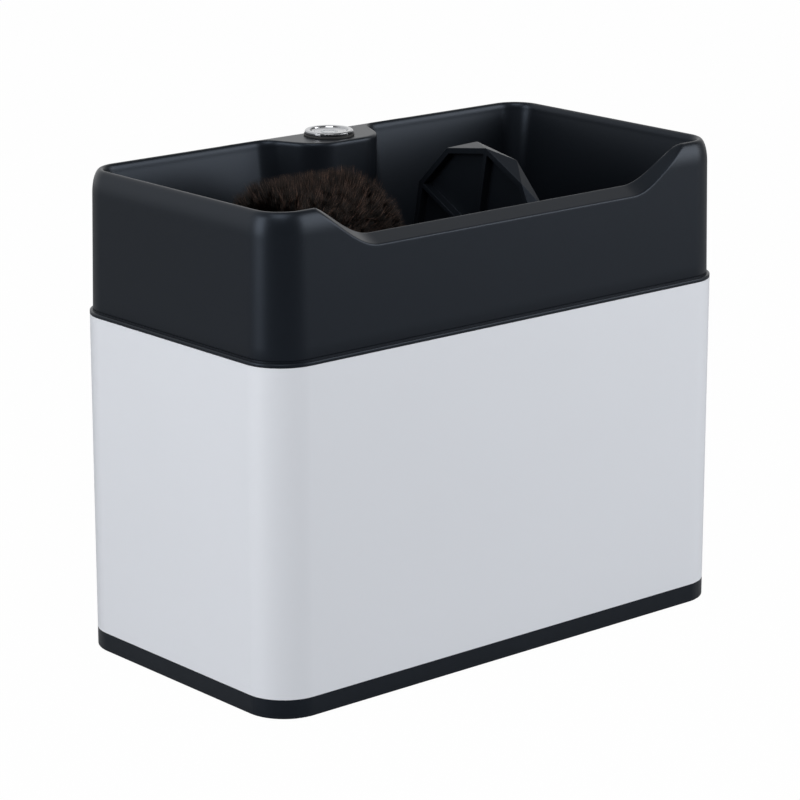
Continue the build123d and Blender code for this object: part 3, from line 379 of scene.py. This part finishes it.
def collar_piece():
    """The collar as one closed ring: at each station round the casing, a section runs up the
    bead, skirt and soft shoulder to the ridge, over the land and down the funnel wall. At the
    front the section is cut by a plane that slopes up inwards. The upper part is respaced and
    softened, which rounds its edges."""
    distance = casing_stations()
    edge, inward = casing_walk(distance)
    count = len(distance)
    total = casing_length()

    def carried(insets, heights):
        """A section of insets and heights, taken to every station."""
        flat = edge[:, None, :] + inward[:, None, :] * insets[None, :, None]
        tall = np.broadcast_to(heights[None, :, None], (count, len(heights), 1))
        return np.concatenate([flat, tall], axis=2)

    skirt = np.linspace(GROOVE_TOP + 0.5 * MM, SOFT_BAND[0], 7)
    bead_top = SEAM + BEAD
    # The seam's foot, bead and groove, with their edges broken.
    foot = np.array([
        (2.5 * MM, SEAM), (0.6 * MM, SEAM), (0.15 * MM, SEAM + 0.2 * MM), (0.0, SEAM + 0.6 * MM),
        (0.0, bead_top - 0.6 * MM), (0.15 * MM, bead_top - 0.2 * MM), (0.6 * MM, bead_top),
        (GROOVE_INSET, bead_top), (GROOVE_INSET, GROOVE_TOP),
        (SKIRT_INSET + 0.4 * MM, GROOVE_TOP), (SKIRT_INSET + 0.1 * MM, GROOVE_TOP + 0.15 * MM),
    ])
    low = carried(
        np.concatenate([foot[:, 0], outer_inset(skirt)]), np.concatenate([foot[:, 1], skirt])
    )
    wall = np.linspace(SOFT_BAND[0], SHOULDER, 12)
    bow = np.linspace(0, math.pi / 2, 48)[1:]
    outer = carried(
        np.concatenate([
            outer_inset(wall), RIDGE_INSET - (RIDGE_INSET - SHOULDER_INSET) * np.cos(bow),
        ]),
        np.concatenate([wall, SHOULDER + SHOULDER_DROP * np.sin(bow)]),
    )

    inner_edge = edge + inward * LIP_INSET
    inner_normal = inward.copy()
    funnel = np.ones(count)
    back = np.abs(distance - total / 2) <= LOBE_REACH + 1e-9
    fraction = (distance[back] - (total / 2 - LOBE_REACH)) / (2 * LOBE_REACH)
    inner_edge[back], inner_normal[back], funnel[back] = lobe_walk(fraction)
    brim = (LIP_INSET - RIDGE_INSET) * (LOBE_BRIM_SHARE + (1 - LOBE_BRIM_SHARE) * funnel)
    land_end = inner_edge - inner_normal * brim[:, None]
    land = np.linspace(0, 1, 24)[1:]
    ridge = edge + inward * RIDGE_INSET
    across = ridge[:, None] + (land_end - ridge)[:, None] * land[None, :, None]
    top = np.concatenate([across, np.full((count, len(land), 1), RIM)], axis=2)

    drop = LIP_DROP * (LOBE_DROP_SHARE + (1 - LOBE_DROP_SHARE) * funnel)
    fall = np.linspace(0, math.pi / 2, 12)[1:]
    over_flat = land_end[:, None] + (
        inner_normal[:, None] * (brim[:, None] * np.sin(fall)[None, :])[..., None]
    )
    over_tall = RIM - drop[:, None] * (1 - np.cos(fall))[None, :]
    over = np.concatenate([over_flat, over_tall[..., None]], axis=2)

    def inner(levels):
        """The wall below the lip: leaning in as a funnel, upright round the lobe."""
        lean = (inner_wall_inset(levels) - LIP_INSET) * funnel[:, None]
        flat = inner_edge[:, None] + inner_normal[:, None] * lean[..., None]
        return np.concatenate([flat, levels[..., None]], axis=2)

    share = np.linspace(0, 1, 40)[1:][None, :]
    start = (RIM - drop)[:, None]
    upper_wall = inner(start + (SOFT_BAND[1] - start) * share)
    lower_wall = inner(np.broadcast_to(np.linspace(SOFT_BAND[1], SEAM, 7)[1:], (count, 6)))

    soft = np.concatenate([outer, top, over, upper_wall], axis=1)
    at_front = soft[..., 1] < -HALF_DEPTH + 2 * WELL_INSET
    cut = scoop_height(soft[..., 0]) + SCOOP_SLOPE * (soft[..., 1] + HALF_DEPTH)
    soft[..., 2] = np.where(at_front, np.minimum(soft[..., 2], cut), soft[..., 2])
    soft = soften(spread_evenly(soft, SOFT_STEPS))
    points = np.concatenate([low, soft[:, 1:], lower_wall], axis=1)
    piece = tidy_normals(surface("collar_shell", points))
    cut_with(piece, bore_cutter())
    set_smooth(piece.data)
    piece.data.set_sharp_from_angle(angle=CREASE)
    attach(piece, "casing")
    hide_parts("collar")
    return piece


def cut_with(piece, cutter):
    """Cuts the cutter's solid out of the piece and removes the cutter."""
    cut = piece.modifiers.new("cut", "BOOLEAN")
    cut.operation = "DIFFERENCE"
    cut.solver = "EXACT"
    cut.object = cutter
    graph = bpy.context.evaluated_depsgraph_get()
    result = bpy.data.meshes.new_from_object(piece.evaluated_get(graph))
    piece.modifiers.clear()
    piece.data = result
    bpy.data.objects.remove(cutter)


# ---- push button -----------------------------------------------------------------
# Radii of the barrel, the cap's stem, their bores, and the light ring inside and outside.
BARREL = 12.3 * MM
BARREL_BORE = 8.0 * MM
STEM = 3.5 * MM
STEM_BORE = 3.8 * MM
RING = (4.2 * MM, 5.5 * MM)


def button_profiles():
    """The closed outlines of the flange, cap, ring and gasket. Each row is a corner's
    distance from the button's axis, its height and the radius that rounds it."""
    flange, top, seat = bezel_high.x, bezel_high.z, gasket_high.z
    dish, floor, shelf = cap_high.x + 0.3 * MM, top - 8.0 * MM, bezel_low.z + 6 * MM
    edge, cap_top, under = cap_high.x, cap_high.z, cap_high.z - 3.0 * MM
    dip = cap_top - 0.6 * MM
    ring_in, ring_out = RING
    ring_low, ring_top = dip - 1.0 * MM, dip + 0.15 * MM
    seal_in, seal_out = BARREL + 0.1 * MM, gasket_high.x
    return {
        "button_flange": [
            (dish, top - 1.9 * MM, 0.3 * MM), (flange - 3.2 * MM, top, 0.8 * MM),
            (flange - 0.7 * MM, top, 0.3 * MM), (flange, top - 0.7 * MM, 0.3 * MM),
            (flange, seat + 0.4 * MM, 0.2 * MM), (flange - 0.8 * MM, seat, 0.2 * MM),
            (BARREL, seat, 0.2 * MM), (BARREL, bezel_low.z, 0),
            (STEM_BORE, bezel_low.z, 0.3 * MM), (STEM_BORE, shelf, 0), (BARREL_BORE, shelf, 0),
            (BARREL_BORE, floor, 0.3 * MM), (dish, floor, 0),
        ],
        "button_dish": [
            (0, dip, 0), (ring_in, dip, 0.2 * MM), (ring_in, ring_low, 0),
            (ring_out, ring_low, 0), (ring_out, dip, 0.2 * MM),
            (edge - 2.2 * MM, dip + 0.1 * MM, 1.0 * MM), (edge - 1.2 * MM, cap_top, 0.5 * MM),
            (edge, cap_top, 0.3 * MM), (edge, under, 0.2 * MM), (STEM, under, 0.3 * MM),
            (STEM, cap_low.z, 0.3 * MM), (0, cap_low.z, 0),
        ],
        "button_ring": [
            (ring_in, ring_low, 0), (ring_out, ring_low, 0), (ring_out, ring_top, 0.25 * MM),
            (ring_in, ring_top, 0.25 * MM),
        ],
        "button_seal": [
            (seal_in, gasket_low.z, 0), (seal_out, gasket_low.z, 0.2 * MM),
            (seal_out, gasket_high.z, 0.6 * MM), (seal_in, gasket_high.z, 0),
        ],
    }


def button_pieces():
    """Flange, cap, ring and gasket of the push button, each a rounded profile turned about
    the button's axis."""
    centre = (0.0, (bezel_low.y + bezel_high.y) / 2)
    for (name, rows), (body, node) in zip(button_profiles().items(), (
        ("casing", "button_bezel"), ("power_button", "button_cap"),
        ("power_button", "button_light_ring"), ("casing", "button_gasket"),
    )):
        rows = np.array(rows, float)
        piece = turned(name, rounded_profile(rows[:, :2], rows[:, 2]), centre)
        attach(piece, body)
        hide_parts(node)
        yield piece


def pressed_spring():
    """The coil under the cap: a copy of the node's own mesh."""
    source = frame["nodes"]["button_spring"]
    piece = placed("button_coil", source.data.copy())
    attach(piece, "casing")
    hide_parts("button_spring")
    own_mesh(piece)
    return piece


# ---- brush -----------------------------------------------------------------------
HAIRS_PER_PIECE = 9500
HAIR_PIECES = 5
HAIR_WIDTH = 0.46 * MM
HAIR_ROOT = 26.0 * MM
HAIR_SEED = 7
# How far along a strand its three rings of corners and its tip stand.
STRAND = np.array([0.0, 0.45, 0.8, 1.0])
STRAND_TAPER = 0.55
STRAND_BEND = 1.6
STRAND_THICKNESS = (0.7, 1.2)
# Tufts stand this far apart, counted at a share of the brush's radius.
TUFT_PITCH = 5.2 * MM
TUFT_LEVEL = 0.62
# Standard deviations. Places and leans are shares of the core's half length, then radians.
TUFT_JITTER = (0.012, 0.015)
TUFT_SPREAD = (0.018, 0.022)
TUFT_LEAN = 0.075
TUFT_UNEVEN = 2.3 * MM
STRAND_LEAN = 0.03
STRAND_UNEVEN = 1.6 * MM
# A few strands lean more by this much.
STRAY_SHARE = 0.05
STRAY_LEAN = 0.16
# Shares of a strand's shade that its tuft and it alone decide.
SHADE_SHARES = (0.35, 0.65)
# Tips lean less along the brush, and stay inside its ends but for a little.
END_LEAN = 0.9
END_LIMIT = 1.02
# The barrel's fall towards its ends: over what length, and how deep.
BARREL_RUN = 9 * MM
BARREL_FALL = 8.0 * MM
# The mean strand is shorter than the brush's radius, and the longest is a little longer.
STRAND_SHORT = 1.5 * MM
STRAND_LONG = 1.6 * MM
STRAND_LONG_RANGE = 0.5 * MM
UNDERCOAT_SHARE = 0.8
UNDERCOAT_END = 27.0 * MM
UNDERCOAT_MARGIN = 5 * MM
UNDERCOAT_SQUARE = 9
CORE_RADIUS = 24.2 * MM
brush_axis_z = (bristle_low.z + bristle_high.z) / 2
brush_middle = (bristle_low.x + bristle_high.x) / 2
brush_half = (bristle_high.x - bristle_low.x) / 2
brush_radius = (bristle_high.z - bristle_low.z) / 2
core_half = (core_high.x - core_low.x) / 2


def tuft_places(random):
    """Tufts on the core in staggered rows: angle and place along the core, slightly uneven."""
    rows = int(round(2 * core_half / TUFT_PITCH))
    around = int(round(2 * math.pi * brush_radius * TUFT_LEVEL / TUFT_PITCH))
    row, turn = np.meshgrid(np.arange(rows), np.arange(around), indexing="ij")
    along = (row + 0.5) / rows * 2 - 1
    angle = (turn + 0.5 * (row % 2)) / around * 2 * math.pi
    along = along + random.normal(0, TUFT_JITTER[0], along.shape)
    angle = angle + random.normal(0, TUFT_JITTER[1], angle.shape)
    return along.ravel(), angle.ravel()


def hair_piece(name, random):
    """Strands of horsehair: each is a three-sided taper on a curved line that leaves the core
    and leans with its tuft and a little by itself. Its length is the brush's radius, less a
    quarter circle's fall towards the ends, and varied by tuft and by strand."""
    tuft_along, tuft_angle = tuft_places(random)
    tufts = len(tuft_along)
    tuft_lean = random.normal(0, TUFT_LEAN, (tufts, 2))
    tuft_length = random.normal(0, TUFT_UNEVEN, tufts)
    tuft_shade = random.random(tufts)
    which = random.integers(0, tufts, HAIRS_PER_PIECE)
    spread = random.normal(0, 1, (HAIRS_PER_PIECE, 2))
    along = tuft_along[which] + spread[:, 0] * TUFT_SPREAD[0]
    angle = tuft_angle[which] + spread[:, 1] * TUFT_SPREAD[1]
    stray = random.random(HAIRS_PER_PIECE) < STRAY_SHARE
    splay = STRAND_LEAN + STRAY_LEAN * stray
    tip_angle = angle + tuft_lean[which, 1] + random.normal(0, 1, HAIRS_PER_PIECE) * splay
    widening = brush_half / core_half
    tip_along = along * widening + (
        tuft_lean[which, 0] + random.normal(0, 1, HAIRS_PER_PIECE) * splay
    ) * END_LEAN
    tip_along = np.clip(tip_along, -widening * END_LIMIT, widening * END_LIMIT)
    barrel_start = brush_half - BARREL_RUN
    shoulder = np.clip((np.abs(tip_along) * core_half - barrel_start) / BARREL_RUN, 0, 0.999)
    length = brush_radius - BARREL_FALL * (1 - np.sqrt(1 - shoulder ** 2))
    uneven = random.normal(0, STRAND_UNEVEN, HAIRS_PER_PIECE)
    length = length - STRAND_SHORT + tuft_length[which] + uneven
    longest = brush_radius + STRAND_LONG - STRAND_LONG_RANGE * random.random(HAIRS_PER_PIECE)
    length = np.minimum(length, longest)
    t = STRAND[None, :]
    lag = t ** STRAND_BEND
    radius = HAIR_ROOT + (length[:, None] - HAIR_ROOT) * t
    place = along[:, None] + (tip_along - along)[:, None] * lag
    turn = angle[:, None] + (tip_angle - angle)[:, None] * lag
    centre = np.stack(
        [
            brush_middle + place * core_half, radius * np.cos(turn),
            brush_axis_z + radius * np.sin(turn),
        ],
        axis=-1,
    )
    side_x = np.zeros_like(centre)
    side_x[..., 0] = 1.0
    side_turn = np.stack([np.zeros_like(turn), -np.sin(turn), np.cos(turn)], axis=-1)
    corner = np.radians([90.0, 210.0, 330.0])
    thickness = random.uniform(*STRAND_THICKNESS, HAIRS_PER_PIECE)
    width = HAIR_WIDTH / 2 * (1 - STRAND_TAPER * t) * thickness[:, None]
    rings = centre[:, :3, None] + width[:, :3, None, None] * (
        np.cos(corner)[:, None] * side_x[:, :3, None]
        + np.sin(corner)[:, None] * side_turn[:, :3, None]
    )
    points = np.concatenate(
        [rings.reshape(HAIRS_PER_PIECE, 9, 3), centre[:, 3:]], axis=1
    )
    side = np.array([
        (ring * 3 + i, ring * 3 + (i + 1) % 3, ring * 3 + 3 + (i + 1) % 3, ring * 3 + 3 + i)
        for ring in range(2) for i in range(3)
    ])
    tip = np.array([(6 + i, 6 + (i + 1) % 3, 9) for i in range(3)])
    base = np.arange(HAIRS_PER_PIECE)[:, None, None] * 10
    quads = (base + side[None]).reshape(-1, 4)
    tips = (base + tip[None]).reshape(-1, 3)
    mesh = bpy.data.meshes.new(name)
    mesh.from_pydata(points.reshape(-1, 3).tolist(), [], quads.tolist() + tips.tolist())
    set_smooth(mesh)
    ripeness = np.tile(np.repeat(STRAND, [3, 3, 3, 1]), HAIRS_PER_PIECE)
    own_shade = random.random(HAIRS_PER_PIECE) ** 2
    shade = SHADE_SHARES[0] * tuft_shade[which] + SHADE_SHARES[1] * own_shade
    for label, values in (("along_hair", ripeness), ("hair_shade", np.repeat(shade, 10))):
        attribute = mesh.attributes.new(label, "FLOAT", "POINT")
        attribute.data.foreach_set("value", values.astype(np.float32))
    piece = placed(name, mesh)
    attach(piece, "brush_drive")
    return piece


def undercoat_piece():
    """The dense mass of hair under the tips: a barrel whose radius is UNDERCOAT_SHARE of the
    brush's, rippled by sines of the angle and the place along it. It falls to UNDERCOAT_END
    at both ends and is closed on the core. It takes the hair's near-black root colour, painted
    shade that makes the gaps between the tufts look deep."""
    angle = np.linspace(0, 2 * math.pi, 260, endpoint=False)[:, None]
    t = np.linspace(-1, 1, 61)[None, :]
    x = brush_middle + t * (brush_half - UNDERCOAT_MARGIN)
    bulge = np.sqrt(np.clip(1 - np.abs(t) ** UNDERCOAT_SQUARE, 0, 1))
    ripple = 0.7 * MM * np.sin(41 * angle + 9 * t) + 0.6 * MM * np.sin(23 * angle - 31 * t)
    swell = brush_radius * UNDERCOAT_SHARE - UNDERCOAT_END
    radius = UNDERCOAT_END + swell * bulge + ripple * bulge
    points = np.stack(
        [
            np.broadcast_to(x, radius.shape), radius * np.cos(angle),
            brush_axis_z + radius * np.sin(angle),
        ],
        axis=-1,
    )
    inner = points[:, [-1, 0]]
    shrink = CORE_RADIUS / np.hypot(inner[..., 1], inner[..., 2] - brush_axis_z)
    inner[..., 1] *= shrink
    inner[..., 2] = brush_axis_z + (inner[..., 2] - brush_axis_z) * shrink
    piece = tidy_normals(surface("brush_undercoat_and_shade", np.concatenate([points, inner], axis=1)))
    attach(piece, "brush_drive")
    return piece


def brush_pieces():
    """All the hair of the brush, in pieces of equal size."""
    random = np.random.default_rng(HAIR_SEED)
    hair = [hair_piece(f"brush_hair_{i + 1}", random) for i in range(HAIR_PIECES)]
    pieces = hair + [undercoat_piece()]
    for piece in pieces:
        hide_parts("brush_bristles")
    return pieces


# ---- materials -------------------------------------------------------------------
def linear(code):
    """An sRGB hex colour as linear red, green, blue and alpha."""
    values = np.array([int(code[i:i + 2], 16) for i in (1, 3, 5)]) / 255
    curve = np.where(values <= 0.04045, values / 12.92, ((values + 0.055) / 1.055) ** 2.4)
    return (*curve.tolist(), 1.0)


def add(tree, kind, settings=None, sockets=None):
    """Adds a node with its settings; a socket's value may be another node's output."""
    node = tree.nodes.new(kind)
    for key, value in (settings or {}).items():
        setattr(node, key, value)
    for key, value in (sockets or {}).items():
        if isinstance(value, bpy.types.NodeSocket):
            tree.links.new(value, node.inputs[key])
        else:
            node.inputs[key].default_value = value
    return node


def emptied(block):
    """The node tree of a world or material, with nothing in it."""
    block.use_nodes = True
    block.node_tree.nodes.clear()
    return block.node_tree


def new_material(name, sockets):
    """An empty material with one surface shader whose constant sockets are set directly."""
    material = bpy.data.materials.new(name)
    tree = emptied(material)
    shader = add(tree, "ShaderNodeBsdfPrincipled", sockets=sockets)
    add(tree, "ShaderNodeOutputMaterial", sockets={"Surface": shader.outputs["BSDF"]})
    return material, tree, shader


def grained(name, light, dark, roughness, grain, depth, metallic=0.0, ior=1.5,
            stretch=(1, 1, 1), mottle=40.0, detail=3.0, extra=None):
    """A surface with a fine relief and a slow change of colour and gloss.

    grain is the relief's real spacing in millimetres, depth its height in millimetres, and
    mottle the spacing of the slow change. stretch draws the grain out along an axis.
    """
    sockets = {"Metallic": metallic, "IOR": ior}
    sockets.update(extra or {})
    material, tree, shader = new_material(name, sockets)
    place = add(tree, "ShaderNodeTexCoord").outputs["Object"]
    drawn = add(tree, "ShaderNodeMapping", sockets={"Vector": place, "Scale": stretch})
    fine = add(tree, "ShaderNodeTexNoise", sockets={
        "Vector": drawn.outputs["Vector"], "Scale": 1 / (grain * MM), "Detail": detail,
        "Roughness": 0.55,
    })
    slow = add(tree, "ShaderNodeTexNoise", sockets={
        "Vector": place, "Scale": 1 / (mottle * MM), "Detail": 2.0, "Roughness": 0.5,
    })
    colour = add(tree, "ShaderNodeMix", {"data_type": "RGBA"}, {
        "Factor": slow.outputs["Fac"], "A": linear(dark), "B": linear(light),
    })
    gloss = add(tree, "ShaderNodeMapRange", sockets={
        "Value": fine.outputs["Fac"], "To Min": roughness[0], "To Max": roughness[1],
    })
    relief = add(tree, "ShaderNodeBump", sockets={
        "Height": fine.outputs["Fac"], "Strength": 1.0, "Distance": depth * MM,
    })
    tree.links.new(mix_output(colour), shader.inputs["Base Color"])
    tree.links.new(gloss.outputs["Result"], shader.inputs["Roughness"])
    tree.links.new(relief.outputs["Normal"], shader.inputs["Normal"])
    return material


def mix_output(node):
    """The colour output of a colour mix node."""
    return next(o for o in node.outputs if o.type == "RGBA")


def horsehair(name):
    """Cut horsehair: black-brown at the root, redder and paler at the tip, strand by strand. The
    near-black root colour is dark hair and also painted shade deep among the tufts.
    """
    material, tree, shader = new_material(name, {
        "IOR": 1.55, "Metallic": 0.0, "Specular IOR Level": 0.16, "Roughness": 0.42,
    })
    along = add(tree, "ShaderNodeAttribute", {"attribute_name": "along_hair"}).outputs["Fac"]
    shade = add(tree, "ShaderNodeAttribute", {"attribute_name": "hair_shade"}).outputs["Fac"]
    # The root colours are near-black: dark horsehair, with painted shade deep in the brush.
    root = add(tree, "ShaderNodeMix", {"data_type": "RGBA"}, {
        "Factor": shade, "A": linear("#010101"), "B": linear("#030202"),
    })
    tint = add(tree, "ShaderNodeMath", {"operation": "POWER"}, {0: shade, 1: 3.2})
    tip = add(tree, "ShaderNodeMix", {"data_type": "RGBA"}, {
        "Factor": tint.outputs[0], "A": linear("#050302"), "B": linear("#86685a"),
    })
    rise = add(tree, "ShaderNodeMath", {"operation": "POWER"}, {0: along, 1: 5.0})
    whole = add(tree, "ShaderNodeMix", {"data_type": "RGBA"}, {
        "Factor": rise.outputs[0], "A": mix_output(root), "B": mix_output(tip),
    })
    tree.links.new(mix_output(whole), shader.inputs["Base Color"])
    return material


def beech(name):
    """Turned beech: pale and brown bands of growth across its height, a little wavy."""
    material, tree, shader = new_material(name, {"IOR": 1.5, "Roughness": 0.5})
    place = add(tree, "ShaderNodeTexCoord").outputs["Object"]
    rings = add(tree, "ShaderNodeTexWave", {"bands_direction": "Z"}, {
        "Vector": place, "Scale": 1 / (7 * MM), "Distortion": 3.0, "Detail": 2.0,
    })
    colour = add(tree, "ShaderNodeMix", {"data_type": "RGBA"}, {
        "Factor": rings.outputs["Fac"], "A": linear("#a9825a"), "B": linear("#c9a478"),
    })
    tree.links.new(mix_output(colour), shader.inputs["Base Color"])
    return material


def make_materials():
    """Every finish of the machine, by the record's slot name."""
    made = {}
    # Powder coat cures with a faint orange peel, about 2 mm across and a few microns high.
    made["white_powder_coat"] = grained(
        "powder_coated_steel", "#dde0e6", "#dadde3", (0.34, 0.40), 2.2, 0.006, mottle=160.0,
        detail=1.0)
    # Moulded ABS with a spark-eroded skin; the 0.3 mm pits are drawn 0.9 mm wide to show. Its
    # gloss is low and slightly blue.
    made["black_abs"] = grained(
        "moulded_abs", "#101318", "#0e1115", (0.33, 0.39), 0.9, 0.005, mottle=90.0,
        extra={"Specular IOR Level": 0.3, "Specular Tint": linear("#c8d8ee")})
    # Moulded rubber is duller, with a dusty bloom.
    made["black_rubber"] = grained(
        "moulded_rubber", "#131416", "#0e0f10", (0.62, 0.74), 0.8, 0.02, ior=1.52, mottle=8.0)
    # Zinc plating on pressed steel: bluish, softly bright, faintly streaked.
    made["zinc_steel"] = grained(
        "zinc_plated_steel", "#c3c8ce", "#aeb3ba", (0.26, 0.38), 1.2, 0.004, 1.0, mottle=9.0)
    # Ground steel: grinding marks 0.5 mm apart, drawn round the shaft.
    made["ground_steel"] = grained(
        "ground_steel", "#c9cbd0", "#b4b7bd", (0.2, 0.3), 0.5, 0.004, 1.0, stretch=(1, .1, .1))
    # Sand casting under brushed black enamel.
    made["black_casting"] = grained(
        "enamelled_casting", "#1b1c1f", "#131416", (0.45, 0.6), 1.6, 0.05, ior=1.5, mottle=12.0)
    # Die-cast aluminium, grey and slightly grainy.
    made["motor_aluminium"] = grained(
        "die_cast_aluminium", "#b9bcc0", "#a3a6ab", (0.4, 0.52), 0.9, 0.02, 1.0, mottle=14.0)
    # Dipped motor enamel.
    made["motor_enamel"] = grained(
        "dipped_motor_enamel", "#2b2f33", "#24272b", (0.3, 0.42), 2.0, 0.02, mottle=25.0)
    # Stacked laminations, 0.5 mm each, their edges seen as lines across the motor's axis.
    made["lamination_steel"] = grained(
        "stacked_laminations", "#70747a", "#54575c", (0.4, 0.55), 0.5, 0.03, 1.0,
        stretch=(1, .05, .05), mottle=6.0)
    # Enamelled copper wire wound in bundles.
    made["copper_winding"] = grained(
        "enamelled_copper_wire", "#b0633a", "#8a4526", (0.3, 0.42), 0.8, 0.15, 0.9,
        stretch=(1, .15, .15), mottle=5.0)
    # Turned brass.
    made["brass_parts"] = grained(
        "turned_brass", "#c9a962", "#b39251", (0.24, 0.34), 0.6, 0.004, 1.0, mottle=7.0)
    # Moulded nylon: a little waxy.
    made["black_nylon"] = grained(
        "moulded_nylon", "#1c1d1f", "#151617", (0.46, 0.56), 0.7, 0.012, ior=1.53, mottle=10.0)
    # Glass-epoxy laminate under green solder mask, its weave just showing.
    made["green_laminate"] = grained(
        "solder_masked_laminate", "#1f5a35", "#184a2b", (0.28, 0.36), 0.6, 0.006, mottle=4.0)
    # Polished stainless steel with fine buffing lines.
    made["polished_steel"] = grained(
        "polished_stainless_steel", "#b4b5b8", "#a6a8ab", (0.1, 0.17), 0.5, 0.0004, 1.0,
        stretch=(1, .2, 1), mottle=12.0)
    # Clear moulding over a diffuser: milky and glossy.
    made["clear_ring"] = grained(
        "milky_clear_moulding", "#aab0b4", "#9ba1a6", (0.12, 0.2), 0.8, 0.002, ior=1.49,
        mottle=5.0)
    # Oiled beech, turned round.
    made["beech"] = beech("turned_beech")
    # Natural dark horsehair, cut level.
    made["horsehair"] = horsehair("cut_horsehair")
    return made


# ---- light, floor and camera -----------------------------------------------------
WORLD_LIGHT = 0.2
FLOOR_GLOW = 0.99
FLOOR_MIRRORED = 0.1
FLOOR_REACH = 3.0
LAMP_AIM = (0, 0, 0.16)
# Place and size in metres, and power in watts.
LAMPS = {
    "left_strip": ((-2.15, 0.3, 0.75), (0.9, 1.5), 26),
    "right_softbox": ((1.46, -1.66, 0.95), (1.7, 1.4), 35.5),
    "top_softbox": ((-0.9, -0.9, 1.9), (1.3, 1.3), 20),
}


def seen_directly(tree, mirrored_share):
    """1 for camera and transmission rays, a share for glossy rays, 0 for the rays that
    light what they meet. The share may be another node's output."""
    path = add(tree, "ShaderNodeLightPath")
    either = add(tree, "ShaderNodeMath", {"operation": "MAXIMUM"}, {
        0: path.outputs["Is Camera Ray"], 1: path.outputs["Is Transmission Ray"],
    })
    mirrored = add(tree, "ShaderNodeMath", {"operation": "MULTIPLY"}, {
        0: path.outputs["Is Glossy Ray"], 1: mirrored_share,
    })
    return add(tree, "ShaderNodeMath", {"operation": "MAXIMUM"}, {
        0: either.outputs[0], 1: mirrored.outputs[0],
    }).outputs[0]


def softbox(name, place, size, power):
    """A rectangular lamp at a place, facing the middle of the machine."""
    lamp = bpy.data.lights.new(name, "AREA")
    lamp.shape = "RECTANGLE"
    lamp.size, lamp.size_y = size
    lamp.energy = power
    holder = placed(name, lamp)
    holder.location = place
    facing = Vector(LAMP_AIM) - Vector(place)
    holder.rotation_euler = facing.to_track_quat("-Z", "Y").to_euler()


def studio():
    """A white sweep under soft boxes: a tall one at the left, one in front at the right and
    one overhead. The air is white to the eye, dim as a light, and white in reflections only
    behind the machine."""
    world = bpy.data.worlds.new("studio_air")
    bpy.context.scene.world = world
    tree = emptied(world)
    heading = add(tree, "ShaderNodeSeparateXYZ", sockets={
        "Vector": add(tree, "ShaderNodeTexCoord").outputs["Generated"],
    })
    behind = add(tree, "ShaderNodeMapRange", {"interpolation_type": "SMOOTHSTEP"}, {
        "Value": heading.outputs["Y"], "From Min": -0.1, "From Max": 0.6,
        "To Min": 0.0, "To Max": 1.0,
    })
    strength = add(tree, "ShaderNodeMapRange", sockets={
        "Value": seen_directly(tree, behind.outputs["Result"]), "To Min": WORLD_LIGHT,
        "To Max": 1.0,
    })
    air = add(tree, "ShaderNodeBackground", sockets={
        "Color": (1, 1, 1, 1), "Strength": strength.outputs["Result"],
    })
    add(tree, "ShaderNodeOutputWorld", sockets={"Surface": air.outputs["Background"]})

    material = bpy.data.materials.new("white_sweep")
    tree = emptied(material)
    matt = add(tree, "ShaderNodeBsdfDiffuse", sockets={"Color": linear("#a4a6a9")})
    glow = add(tree, "ShaderNodeEmission", sockets={"Color": (1, 1, 1, 1), "Strength": 1.0})
    share = add(tree, "ShaderNodeMath", {"operation": "MULTIPLY"}, {
        0: seen_directly(tree, FLOOR_MIRRORED), 1: FLOOR_GLOW,
    })
    both = add(tree, "ShaderNodeMixShader", sockets={
        0: share.outputs[0], 1: matt.outputs["BSDF"], 2: glow.outputs["Emission"],
    })
    add(tree, "ShaderNodeOutputMaterial", sockets={"Surface": both.outputs["Shader"]})
    corners = np.array([(-1, -1, 0), (1, -1, 0), (1, 1, 0), (-1, 1, 0)]) * FLOOR_REACH
    floor = mesh_object("sweep", corners, np.array([[0, 1, 2, 3]]), smooth=False)
    floor.data.materials.append(material)
    for name, (place, size, power) in LAMPS.items():
        softbox(name, place, size, power)


CAMERA_AZIMUTH = math.radians(-40.795)
CAMERA_ELEVATION = math.radians(15.387)
CAMERA_DISTANCE = 2.110
CAMERA_AIM = Vector((-4.54, 1.43, 149.2)) * MM
CAMERA_LENS = 146.65
CAMERA_SENSOR = 36.0


def portrait_camera():
    """The camera stands in front and to the left, well above the rim."""
    azimuth, elevation = CAMERA_AZIMUTH, CAMERA_ELEVATION
    away = Vector((
        math.sin(azimuth) * math.cos(elevation), -math.cos(azimuth) * math.cos(elevation),
        math.sin(elevation),
    ))
    lens = bpy.data.cameras.new("portrait_camera")
    lens.lens = CAMERA_LENS
    lens.sensor_width = CAMERA_SENSOR
    camera = placed("portrait_camera", lens)
    camera.location = CAMERA_AIM + away * CAMERA_DISTANCE
    camera.rotation_euler = (-away).to_track_quat("-Z", "Y").to_euler()
    bpy.context.scene.camera = camera


# ---- put together ----------------------------------------------------------------
def dress(piece, slot):
    """Gives a piece one finish."""
    piece.data.materials.clear()
    piece.data.materials.append(finishes[slot])
    "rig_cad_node" not in piece


bpy.context.scene.view_settings.view_transform = "Standard"
finishes = make_materials()
slot_of = {part["node"]: part["material_slot"] for part in frame["record"]["subparts"]}
for node, piece in frame["nodes"].items():
    dress(piece, slot_of[node])

dress(collar_piece(), "black_abs")
button_slots = ("polished_steel", "polished_steel", "clear_ring", "black_rubber")
for piece, slot in zip(list(button_pieces()), button_slots):
    dress(piece, slot)
dress(pressed_spring(), slot_of["button_spring"])
# The undercoat has no hair attributes, so it takes the near-black root colour: painted shade
# under the tips.
for piece in brush_pieces():
    dress(piece, "horsehair")
for node, width in ROUNDED_EDGES.items():
    dress(softened_copy(f"{node}_rounded", node, width), slot_of[node])

studio()
portrait_camera()
bpy.context.view_layer.update()
